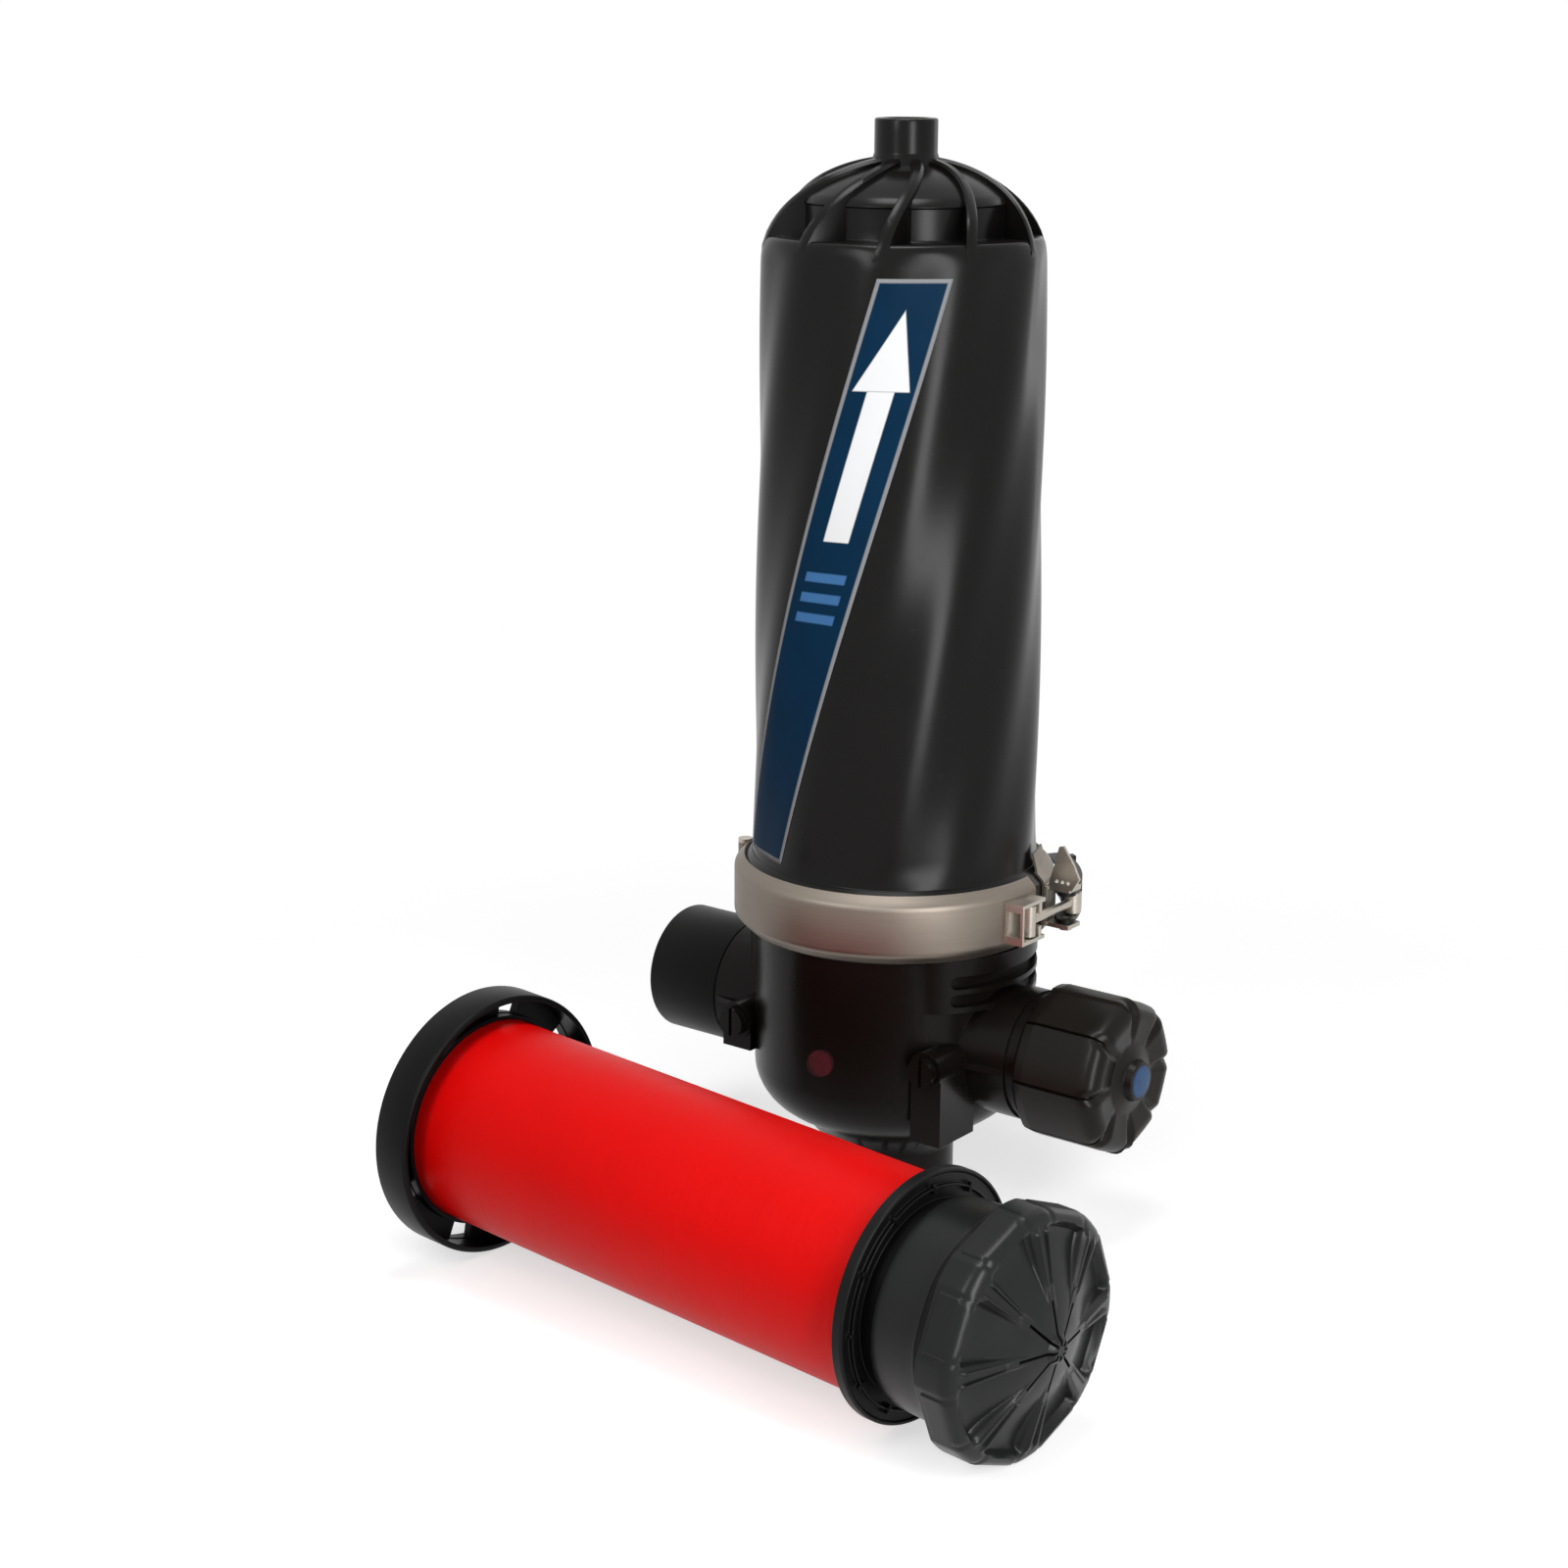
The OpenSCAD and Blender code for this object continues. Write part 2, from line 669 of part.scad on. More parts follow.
module plug(x) {
    color(black) translate([x, boss_y, port_z]) rotate([90, 0, 0]) difference() {
        union() {
            translate([0, 0, -plug_len]) cylinder(r = plug_r, h = plug_len + 2, $fn = 48);
            translate([0, 0, plug_seal_h]) cylinder(r = plug_head_r, h = plug_head_h, $fn = 64);
        }
        translate([-slot_w / 2, -plug_head_r - 2, plug_seal_h + 2.4]) cube([slot_w, 2 * plug_head_r + 4, 4]);
    }
}

module inlet_plug() { plug(-boss_x); }

module outlet_plug() { plug(boss_x); }

module plug_seal(x) {
    color(rubber) translate([x, boss_y, port_z]) rotate([90, 0, 0])
        ring(plug_r + 0.2, plug_head_r - 0.6, 0.02, plug_seal_h - 0.02);
}

module inlet_plug_seal() { plug_seal(-boss_x); }

module outlet_plug_seal() { plug_seal(boss_x); }

// Cartridge, each piece drawn along +Z from the back of the base ring

module helix_base() {
    rim_in = ring_r - 4;
    hub_r = disc_r + 3;
    windows = 8;
    web_s = 9;
    pitch = 360 / windows;
    color(black) lying() difference() {
        union() {
            turned(concat([[rim_in, 0]], arc(ring_r - 2, 2, 2, -90, 0, 3),
                arc(ring_r - 2, ring_w - 2, 2, 0, 90, 3), [[rim_in, ring_w]]));
            cylinder(r = hub_r, h = stack_s + 8);
            ring(hub_r - 1, rim_in + 1, 3, web_s);
            translate([0, 0, -spigot_len]) cylinder(r = spigot_r, h = spigot_len + 2);
        }
        for (i = [0 : windows - 1])
            sector(hub_r + 0.6, rim_in - 0.6, -1, web_s + 1, (i + 0.5) * pitch, (i + 0.78) * pitch);
        translate([0, 0, stack_s - gap]) cylinder(r = disc_r + gap, h = 40);
        translate([0, 0, -spigot_len - 1]) cylinder(r = hub_bore_r, h = spigot_len + ring_w);
        ring(spigot_r - 2.6, spigot_r + 2, -16, -11);
    }
}

module base_seal() {
    color(rubber) lying() rotate_extrude() translate([spigot_r - 0.1, -13.5]) circle(r = 2.4, $fn = 32);
}

module disc_stack() {
    step = stack_len / groove_count;
    edge = [
        for (i = [0 : groove_count - 1]) let (s = stack_s + i * step)
            each [[disc_r - 0.7, s], [disc_r, s + 0.5], [disc_r, s + step - 0.5], [disc_r - 0.7, s + step]]
    ];
    color(red) lying()
        turned(concat([[disc_bore_r, stack_s]], edge, [[disc_bore_r, stack_s + stack_len]]));
}

module spine() {
    column_r = 6.5;
    plate_top = stack_s + stack_len - 4;
    color(black) lying() difference() {
        union() {
            ring(hub_bore_r + 0.1, disc_bore_r - gap, stack_s, stack_s + 6);
            for (i = [0 : 3]) rotate([0, 0, 45 + 90 * i])
                translate([disc_bore_r - gap - column_r, 0, stack_s])
                    cylinder(r = column_r, h = stack_len - 8, $fn = 48);
            translate([0, 0, plate_top - 8]) cylinder(r = disc_bore_r - gap, h = 8);
        }
        cylinder(r = rod_r + 0.03, h = plate_top + 10);
    }
}

module tie_rod() {
    color(steel) lying() union() {
        translate([0, 0, stack_s + stack_len - rod_root]) cylinder(r = rod_r, h = rod_len);
        translate([0, 0, stack_s + stack_len - rod_root - 6]) cylinder(r = nut_r, h = nut_h, $fn = 6);
    }
}

// Plate with a thin ring wall crossed by ticks, and a sleeve that runs in the cap's skirt
module pressure_plate() {
    s = plate_s;
    color(black) lying() union() {
        turned([[rod_r + 0.4, s], [plate_r - 1, s], [plate_r, s + 1], [plate_r, s + plate_t + 1],
            [plate_r - 1, s + plate_t + 2], [plate_r - 2, s + plate_t + 2], [plate_r - 3, s + plate_t],
            [fence_r, s + plate_t], [fence_r, s + fence_top], [fence_r - fence_t, s + fence_top],
            [fence_r - fence_t, s + plate_t], [skirt_in_r - 0.6, s + plate_t],
            [skirt_in_r - 0.6, s + 26], [skirt_in_r - 5, s + 26], [skirt_in_r - 5, s + 8],
            [rod_r + 0.4, s + 8]]);
        for (i = [0 : 11]) rotate([0, 0, i * 30])
            translate([fence_r - fence_t / 2 - tick_reach, -1, s + plate_t - 1])
                cube([2 * tick_reach, 2, fence_top - plate_t + 1.6]);
    }
}

coil_r = 38;
wire_r = 3;
coil_turns = 4.5;
coil_steps = 63;
wire_sides = 8;
coil_from = plate_s + 8 + wire_r + 0.1;
coil_to = seat_face_s - 3.2 - wire_r;

function coil_point(i, k) =
    let (a = 360 * coil_turns * i / coil_steps, b = 360 * k / wire_sides, r = coil_r + wire_r * cos(b))
    [r * cos(a), r * sin(a), coil_from + (coil_to - coil_from) * i / coil_steps + wire_r * sin(b)];

module release_spring() {
    points = [for (i = [0 : coil_steps]) for (k = [0 : wire_sides - 1]) coil_point(i, k)];
    sides = [
        for (i = [0 : coil_steps - 1]) for (k = [0 : wire_sides - 1])
            let (n = (k + 1) % wire_sides, a = i * wire_sides, b = a + wire_sides)
            each [[a + k, a + n, b + n], [a + k, b + n, b + k]]
    ];
    first = [for (k = [wire_sides - 1 : -1 : 0]) k];
    last = [for (k = [0 : wire_sides - 1]) coil_steps * wire_sides + k];
    color(steel) lying() polyhedron(points, concat(sides, [first, last]), convexity = 8);
}

module spring_seat() {
    color(steel) lying()
        ring(coil_r - seat_half_w, coil_r + seat_half_w, seat_face_s - 3, seat_face_s - gap);
}

// Cap with a flat-sided rim, and paired ribs on its shallow cone that run out to the rim's corners
module end_cap() {
    knob_r = 36;
    tip_r = 9;
    edge_a = 75;
    edge_r = cap_r - cap_round_r * (1 - cos(edge_a));
    edge_s = cap_round_s + cap_round_r * sin(edge_a);
    pad_w = 2 * cap_flat_r * tan(pad_half_a);
    corner_r = cap_flat_r / cos(180 / cap_panels);
    // Height of the shallow cone's face at a radius
    function cone_s(r) = edge_s + (apex_s - 3 - edge_s) * (edge_r - r) / (edge_r - tip_r);
    color(black) lying() difference() {
        union() {
            intersection() {
                turned(concat([[0, skirt_s], [skirt_in_r + 4.6, skirt_s], [skirt_in_r + 6, panel_s - 8],
                    [cap_r - 1, panel_s], [cap_r, panel_s + 1.5]],
                    arc(cap_r - cap_round_r, cap_round_s, cap_round_r, 0, edge_a, 5),
                    [[tip_r, apex_s - 3], [tip_r - 3, apex_s], [0, apex_s]]));
                translate([0, 0, skirt_s - 1])
                    cylinder(r = corner_r, h = apex_s - skirt_s + 2, $fn = cap_panels);
            }
            for (i = [0 : cap_panels - 1]) rotate([0, 0, (i + 0.5) * 360 / cap_panels])
                translate([cap_flat_r - 3, -pad_w / 2, panel_s + 5])
                    cube([3 + pad_proud, pad_w, cap_round_s - panel_s - 5]);
            for (i = [0 : cap_panels - 1]) for (side = [-1, 1])
                rotate([90, 0, i * 360 / cap_panels]) translate([0, 0, side * 4.2 - 1.2])
                    linear_extrude(2.4) polygon([[knob_r, cone_s(knob_r) - 4], [edge_r - 1, edge_s - 8],
                        [edge_r - 1, cone_s(edge_r - 1) + 2], [knob_r, cone_s(knob_r) + 1.6]]);
            for (i = [0 : cap_panels - 1])
                rotate([0, 0, i * 360 / cap_panels]) translate([knob_r, 0, cone_s(knob_r) - 4])
                    cylinder(r = 4.6, h = 5.4, $fn = 24);
        }
        for (i = [0 : cap_panels - 1])
            rotate([0, 0, i * 360 / cap_panels]) translate([5, -1, apex_s - 9]) cube([knob_r - 13, 2, 20]);
        difference() {
            translate([0, 0, skirt_s - 1]) cylinder(r = skirt_in_r, h = seat_face_s - skirt_s + 1);
            translate([0, 0, seat_face_s - 22]) cylinder(r = cap_boss_r, h = 30);
        }
        translate([0, 0, skirt_s - 1]) cylinder(r = rod_r + 0.05, h = seat_face_s - skirt_s + 14);
    }
}

lid();
body();
lid_seal();
clamp_front_band();
clamp_rear_band();
clamp_hinge_pin();
latch_keeper();
latch_base();
lever_pin_upper();
lever_pin_lower();
latch_lever();
tee_bolt();
tee_bolt_pin();
inlet_sleeve();
port_cap();
port_gasket();
inlet_plug();
outlet_plug();
inlet_plug_seal();
outlet_plug_seal();
helix_base();
base_seal();
disc_stack();
spine();
tie_rod();
pressure_plate();
release_spring();
spring_seat();
end_cap();
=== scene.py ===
# %% [markdown]
# # An irrigation disc filter
# The solids of the filter come in as a fixed frame: a standing housing, and the disc cartridge that was
# taken out of it and laid in front. This lesson gives every piece its finish, and remakes the pieces whose
# moulded shape is softer or finer than the solids. Nothing is moved: a new piece goes where its solid is.

# %% Load the frame
import json
from math import cos, hypot, pi, radians, sin, sqrt, tan

import bmesh
import bpy
import numpy as np
from mathutils import Matrix, Vector
from mathutils.bvhtree import BVHTree


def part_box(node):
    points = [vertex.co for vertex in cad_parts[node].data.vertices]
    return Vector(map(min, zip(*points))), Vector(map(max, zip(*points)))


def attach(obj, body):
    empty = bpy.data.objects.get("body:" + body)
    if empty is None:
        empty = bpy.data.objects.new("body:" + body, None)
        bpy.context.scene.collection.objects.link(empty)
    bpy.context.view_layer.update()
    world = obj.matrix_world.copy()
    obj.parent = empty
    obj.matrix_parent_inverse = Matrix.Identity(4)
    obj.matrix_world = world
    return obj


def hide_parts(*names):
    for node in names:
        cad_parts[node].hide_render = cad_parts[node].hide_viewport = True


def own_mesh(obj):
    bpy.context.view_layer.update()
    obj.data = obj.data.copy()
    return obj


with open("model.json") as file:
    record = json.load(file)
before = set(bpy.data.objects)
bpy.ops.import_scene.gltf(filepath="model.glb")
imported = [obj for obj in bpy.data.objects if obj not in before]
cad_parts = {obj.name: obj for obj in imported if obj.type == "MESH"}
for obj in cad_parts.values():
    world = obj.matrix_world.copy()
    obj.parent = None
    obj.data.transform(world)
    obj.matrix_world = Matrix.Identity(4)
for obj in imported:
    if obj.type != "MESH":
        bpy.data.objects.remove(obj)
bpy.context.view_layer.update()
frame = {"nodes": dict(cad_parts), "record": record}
scene = bpy.context.scene
MM = 0.001

# %% [markdown]
# ## Camera
# The photograph was taken from a little above, about 1.9 m away. A camera is easiest to repeat from a few
# plain measures: where it stands, how far it looks down, and how far it is turned and rolled. The housing's
# axis is the pivot of those measures, so the camera's own axes are built first and then turned about it.

# %% Place the camera
PHOTO_PX = 1600
FOCAL_PX = 2942
VIEW_TURN = radians(35.3)
EYE = Vector((0, -1900 * MM, 598 * MM))
PIVOT = Vector((0, 0, 195 * MM))
PITCH, YAW, ROLL = radians(15.05), radians(-2.29), radians(0.37)
SENSOR_MM = 36

forward = Vector((sin(YAW) * cos(PITCH), cos(YAW) * cos(PITCH), -sin(PITCH)))
level_right = Vector((cos(YAW), -sin(YAW), 0))
level_up = level_right.cross(forward)
right = level_right * cos(ROLL) + level_up * sin(ROLL)
up = level_up * cos(ROLL) - level_right * sin(ROLL)
turn_to_part = Matrix.Rotation(VIEW_TURN, 3, "Z")
right, up, forward = turn_to_part @ right, turn_to_part @ up, turn_to_part @ forward
eye = turn_to_part @ EYE + PIVOT

camera = bpy.data.objects.new("camera", bpy.data.cameras.new("camera"))
camera.data.sensor_width = SENSOR_MM
camera.data.lens = FOCAL_PX * SENSOR_MM / PHOTO_PX
axes = Matrix((right, up, -forward)).transposed()
camera.matrix_world = Matrix.Translation(eye) @ axes.to_4x4()
scene.collection.objects.link(camera)
scene.camera = camera


def ray_through(x, y):
    """Direction from the eye through a pixel of the photograph."""
    return (forward + right * (x - PHOTO_PX / 2) / FOCAL_PX - up * (y - PHOTO_PX / 2) / FOCAL_PX).normalized()


print("camera at", [round(v, 3) for v in eye], "lens", round(camera.data.lens, 1))

# %% [markdown]
# ## Building blocks for node trees
# Materials and geometry trees are both made of nodes. One helper makes a node, sets its options and fills
# its sockets, with a number or with a link from another node, so that a tree reads like a formula.

# %% Node helpers
def node(tree, kind, inputs=None, **options):
    """A node of that kind; an input is a value, or a socket to link from."""
    made = tree.nodes.new(kind)
    for name, value in options.items():
        setattr(made, name, value)
    for name, value in (inputs or {}).items():
        if isinstance(value, bpy.types.NodeSocket):
            tree.links.new(value, made.inputs[name])
        else:
            made.inputs[name].default_value = value
    return made


def math(tree, operation, a, b=0.0):
    return node(tree, "ShaderNodeMath", {0: a, 1: b}, operation=operation).outputs[0]


def spread(tree, value, low, high, to_low=0.0, to_high=1.0):
    """Maps low..high onto to_low..to_high, with soft ends."""
    limits = {"Value": value, "From Min": low, "From Max": high, "To Min": to_low, "To Max": to_high}
    return node(tree, "ShaderNodeMapRange", limits, interpolation_type="SMOOTHSTEP").outputs[0]


def blend_colour(tree, share, first, second):
    return node(tree, "ShaderNodeMix", {0: share, 6: first, 7: second}, data_type="RGBA").outputs[2]


def noise(tree, place, scale, detail, **more):
    """A noise value at a place; more gives the texture's other inputs."""
    inputs = {"Vector": place, "Scale": scale, "Detail": detail} | more
    return node(tree, "ShaderNodeTexNoise", inputs).outputs["Fac"]


def object_place(tree):
    """A point's place in the piece, which is its place in the filter at rest."""
    return node(tree, "ShaderNodeTexCoord").outputs["Object"]


def new_tree(name, kind, inputs, outputs):
    """An empty node group with named sockets; returns the tree, its input node and its output node."""
    tree = bpy.data.node_groups.new(name, kind)
    for socket, (sort, value) in inputs.items():
        made = tree.interface.new_socket(name=socket, in_out="INPUT", socket_type="NodeSocket" + sort)
        if value is not None:
            made.default_value = value
    for socket, sort in outputs.items():
        tree.interface.new_socket(name=socket, in_out="OUTPUT", socket_type="NodeSocket" + sort)
    return tree, tree.nodes.new("NodeGroupInput"), tree.nodes.new("NodeGroupOutput")


def colour(code):
    """A colour written as on the photograph, #rrggbb, as the linear values that a shader takes."""
    parts = [int(code[i:i + 2], 16) / 255 for i in (1, 3, 5)]
    return tuple(c / 12.92 if c <= 0.04045 else ((c + 0.055) / 1.055) ** 2.4 for c in parts) + (1.0,)


# %% [markdown]
# ## Light, background and floor
# The filter was photographed on white with broad soft lights. Black plastic shows itself mostly through
# what it mirrors, so the shape and place of the lamps matter more than their strength: a tall, low one in
# front and to the right that the upright walls mirror, a high one at the left for the dome, a dim one behind
# that draws the right edge, and one overhead for the tops. The plastics mirror little, because a white room
# would wash their blacks grey. The white background is the world and the floor as the camera and the
# reflections see them. The floor stays a lit, pale surface near the filter, so that it keeps the soft shadow.

# %% World
world = bpy.data.worlds.new("studio")
scene.world = world
world.use_nodes = True
sky = world.node_tree
sky.nodes.clear()
AMBIENT = 0.2


def seen_directly(tree):
    """1 for rays from the camera, or by way of a reflection or a clear piece."""
    path = node(tree, "ShaderNodeLightPath")
    mirrored = math(tree, "MAXIMUM", path.outputs["Is Glossy Ray"], path.outputs["Is Transmission Ray"])
    return math(tree, "MAXIMUM", path.outputs["Is Camera Ray"], mirrored)


soft_sky = node(sky, "ShaderNodeBackground", {"Color": (1, 1, 1, 1), "Strength": AMBIENT})
white_sky = node(sky, "ShaderNodeBackground", {"Color": (1, 1, 1, 1), "Strength": 1.0})
either = {0: seen_directly(sky), 1: soft_sky.outputs[0], 2: white_sky.outputs[0]}
both = node(sky, "ShaderNodeMixShader", either)
node(sky, "ShaderNodeOutputWorld", {"Surface": both.outputs[0]})

# %% Floor
FLOOR_HALF = 20.0
FLOOR_DROP = 0.3 * MM
FADE_FROM, FADE_TO = 0.42, 0.85
FLOOR_LIFT = 0.62
FLOOR_GREY = 0.6

floor_mesh = bpy.data.meshes.new("floor")
h = FLOOR_HALF
corners = [(-h, -h, -FLOOR_DROP), (h, -h, -FLOOR_DROP), (h, h, -FLOOR_DROP), (-h, h, -FLOOR_DROP)]
floor_mesh.from_pydata(corners, [], [(0, 1, 2, 3)])
floor = bpy.data.objects.new("floor", floor_mesh)
scene.collection.objects.link(floor)
pale = bpy.data.materials.new("pale_floor")
pale.use_nodes = True
tree = pale.node_tree
tree.nodes.clear()
seen = seen_directly(tree)
place = object_place(tree)
away = node(tree, "ShaderNodeVectorMath", {0: place}, operation="LENGTH").outputs["Value"]
far = math(tree, "MULTIPLY", spread(tree, away, FADE_FROM, FADE_TO), seen)
paint = node(tree, "ShaderNodeBsdfDiffuse", {"Color": (FLOOR_GREY, FLOOR_GREY, FLOOR_GREY, 1)})
lift_strength = math(tree, "MULTIPLY", seen, FLOOR_LIFT)
lift = node(tree, "ShaderNodeEmission", {"Color": (1, 1, 1, 1), "Strength": lift_strength})
lit = node(tree, "ShaderNodeAddShader", {0: paint.outputs[0], 1: lift.outputs[0]})
white = node(tree, "ShaderNodeEmission", {"Color": (1, 1, 1, 1), "Strength": 1.0})
fade = node(tree, "ShaderNodeMixShader", {0: far, 1: lit.outputs[0], 2: white.outputs[0]})
node(tree, "ShaderNodeOutputMaterial", {"Surface": fade.outputs[0]})
floor_mesh.materials.append(pale)

# %% Lamps
AIM = Vector((0.0, -0.08, 0.33))
to_viewer = Vector((-forward.x, -forward.y, 0)).normalized()
to_right = Vector((right.x, right.y, 0)).normalized()


def lamp(name, sideways, nearer, height, wide, tall, watts):
    """A rectangular soft lamp, placed as the viewer sees it and aimed at the filter."""
    data = bpy.data.lights.new(name, "AREA")
    data.shape = "RECTANGLE"
    data.size, data.size_y = wide, tall
    data.energy = watts
    made = bpy.data.objects.new(name, data)
    made.location = to_right * sideways + to_viewer * nearer + Vector((0, 0, height))
    made.rotation_mode = "QUATERNION"
    made.rotation_quaternion = (AIM - made.location).to_track_quat("-Z", "Y")
    scene.collection.objects.link(made)


scene.view_settings.view_transform = "Standard"
lamp("front_softbox", 0.42, 1.1, 0.47, 0.3, 0.9, 10)
lamp("overhead", -0.1, 0.25, 2.0, 0.8, 0.6, 15)
lamp("right_edge", 1.2, -1.0, 0.8, 0.3, 1.3, 1.6)
lamp("left_top", -0.8, 1.0, 1.05, 0.3, 0.7, 6)

# %% [markdown]
# ## Shared finishes
# Most of the filter is black moulded plastic. It is never one even black: the mould's texture, a slow
# change of gloss where the melt cooled, and faint handling marks all show in the reflections. These are
# one node group, and each material gives it its own colour and gloss.

# %% Group: moulded plastic
GRAIN_PER_M = 1500
COOLING_PER_M = 16
MARKS_PER_M = 60

moulded, given, result = new_tree("moulded_surface", "ShaderNodeTree", {
    "Colour": ("Color", (0.02, 0.02, 0.02, 1)), "Gloss loss": ("Float", 0.36), "Unevenness": ("Float", 0.3),
}, {"Colour": "Color", "Roughness": "Float", "Height": "Float"})
place = object_place(moulded)
grain = noise(moulded, place, GRAIN_PER_M, 2.0)
cooling = noise(moulded, place, COOLING_PER_M, 3.0)
marks = noise(moulded, place, MARKS_PER_M, 8.0, Roughness=0.7, Distortion=1.2)
uneven = math(moulded, "MULTIPLY", math(moulded, "SUBTRACT", cooling, 0.5), given.outputs["Unevenness"])
tone = math(moulded, "ADD", 1.0, uneven)
tinted = node(moulded, "ShaderNodeVectorMath", {0: given.outputs["Colour"], "Scale": tone}, operation="SCALE")
marked = math(moulded, "MULTIPLY", spread(moulded, marks, 0.58, 0.72), 0.05)
rough = math(moulded, "ADD", given.outputs["Gloss loss"], math(moulded, "MULTIPLY", uneven, 0.35))
moulded.links.new(tinted.outputs[0], result.inputs["Colour"])
moulded.links.new(math(moulded, "ADD", rough, marked), result.inputs["Roughness"])
moulded.links.new(grain, result.inputs["Height"])
print("group:", moulded.name)

# %% Plastic materials
def shaded(name):
    """A new material with its shader; returns the material, its tree and the shader."""
    made = bpy.data.materials.new(name)
    made.use_nodes = True
    made.node_tree.nodes.clear()
    shader = node(made.node_tree, "ShaderNodeBsdfPrincipled")
    node(made.node_tree, "ShaderNodeOutputMaterial", {"Surface": shader.outputs[0]})
    return made, made.node_tree, shader


def relief(tree, shader, height, depth, strength=1.0):
    """Feeds a height to the shader's normal."""
    bump = node(tree, "ShaderNodeBump", {"Height": height, "Distance": depth, "Strength": strength})
    tree.links.new(bump.outputs["Normal"], shader.inputs["Normal"])


def plastic(name, code, gloss_loss, unevenness=0.3, grain_depth=0.004 * MM, specular=0.15):
    made, tree, shader = shaded(name)
    surface = node(tree, "ShaderNodeGroup", node_tree=moulded)
    surface.inputs["Colour"].default_value = colour(code)
    surface.inputs["Gloss loss"].default_value = gloss_loss
    surface.inputs["Unevenness"].default_value = unevenness
    tree.links.new(surface.outputs["Colour"], shader.inputs["Base Color"])
    tree.links.new(surface.outputs["Roughness"], shader.inputs["Roughness"])
    shader.inputs["Specular IOR Level"].default_value = specular
    relief(tree, shader, surface.outputs["Height"], grain_depth)
    return made


lid_black = plastic("lid_black_plastic", "#0f0e0d", 0.26, specular=0.14)
body_black = plastic("body_black_plastic", "#0f0c0a", 0.28, specular=0.11)
cap_black = plastic("port_cap_plastic", "#13100d", 0.32, specular=0.14)
sleeve_black = plastic("sleeve_plastic", "#080807", 0.4, specular=0.08)
lever_black = plastic("lever_plastic", "#0d0d0d", 0.36, specular=0.2)
ring_black = plastic("base_ring_plastic", "#070708", 0.4, specular=0.1)
plate_black = plastic("plate_plastic", "#0b0b0c", 0.4, specular=0.12)
cap_grey = plastic("end_cap_plastic", "#161717", 0.3, specular=0.18)
spine_grey = plastic("spine_plastic", "#202122", 0.45, specular=0.2)
rubber = plastic("seal_rubber", "#0b0b0c", 0.62, 0.5, 0.03 * MM, 0.15)
print("plastics:", len(bpy.data.materials) - 1)

# %% [markdown]
# ## Steel
# The clamp is rolled from brushed stainless strip, so its fine scratches run round the housing. A texture
# stretched along the strip shows that: its place is written as the angle round the axis and the height,
# and the height is scaled far more than the angle. Small pins and the latch are plainer, tumbled bright.

# %% Group: brushed strip
CLOUDS_PER_M = 25
ALONG_STRIP = 3.0

brushed, given, result = new_tree("brushed_strip", "ShaderNodeTree", {
    "Lines per m": ("Float", 1800.0), "Colour": ("Color", (0.6, 0.57, 0.54, 1)), "Gloss loss": ("Float", 0.3),
}, {"Colour": "Color", "Roughness": "Float", "Height": "Float"})
place = object_place(brushed)
xyz = node(brushed, "ShaderNodeSeparateXYZ", {0: place}).outputs
turned_by = math(brushed, "ARCTAN2", xyz["Y"], xyz["X"])
radius = math(brushed, "SQRT", math(brushed, "ADD", math(brushed, "MULTIPLY", xyz["X"], xyz["X"]),
                                    math(brushed, "MULTIPLY", xyz["Y"], xyz["Y"])))
lines = math(brushed, "MULTIPLY", xyz["Z"], given.outputs["Lines per m"])
across = math(brushed, "MULTIPLY", radius, given.outputs["Lines per m"])
around = math(brushed, "MULTIPLY", turned_by, ALONG_STRIP)
stretched = node(brushed, "ShaderNodeCombineXYZ", {"X": around, "Y": lines, "Z": across})
scratch = noise(brushed, stretched.outputs[0], 1.0, 3.0)
cloud = noise(brushed, place, CLOUDS_PER_M, 2.0)
tone = math(brushed, "ADD", 0.86, math(brushed, "MULTIPLY", scratch, 0.28))
tinted = node(brushed, "ShaderNodeVectorMath", {0: given.outputs["Colour"], "Scale": tone}, operation="SCALE")
rough = math(brushed, "ADD", given.outputs["Gloss loss"],
             math(brushed, "MULTIPLY", math(brushed, "SUBTRACT", cloud, 0.5), 0.2))
brushed.links.new(tinted.outputs[0], result.inputs["Colour"])
brushed.links.new(rough, result.inputs["Roughness"])
brushed.links.new(scratch, result.inputs["Height"])


def steel(name, code, gloss_loss, lines_per_m, depth):
    made, tree, shader = shaded(name)
    strip = node(tree, "ShaderNodeGroup", node_tree=brushed)
    strip.inputs["Colour"].default_value = colour(code)
    strip.inputs["Gloss loss"].default_value = gloss_loss
    strip.inputs["Lines per m"].default_value = lines_per_m
    tree.links.new(strip.outputs["Colour"], shader.inputs["Base Color"])
    tree.links.new(strip.outputs["Roughness"], shader.inputs["Roughness"])
    shader.inputs["Metallic"].default_value = 1.0
    shader.inputs["Anisotropic"].default_value = 0.4
    relief(tree, shader, strip.outputs["Height"], depth)
    return made


clamp_steel = steel("clamp_brushed_steel", "#7d756c", 0.46, 1800, 0.012 * MM)
latch_steel = steel("latch_bright_steel", "#b5afa5", 0.36, 500, 0.006 * MM)
rod_steel = steel("rod_steel", "#b9b8b4", 0.3, 900, 0.008 * MM)
print("materials so far:", len(bpy.data.materials))

# %% [markdown]
# ## Shapes that are turned
# Nearly every piece here is round. A turned piece is an outline of radius and height, spun about an axis.
# Real mouldings have no sharp corners, so each corner of an outline carries its own rounding, and the outline
# is filled with small arcs before it is spun. Where a piece isn't the same all round, as a cap with panels,
# each angle gets an outline of its own with the same number of points, and one closed skin joins them.

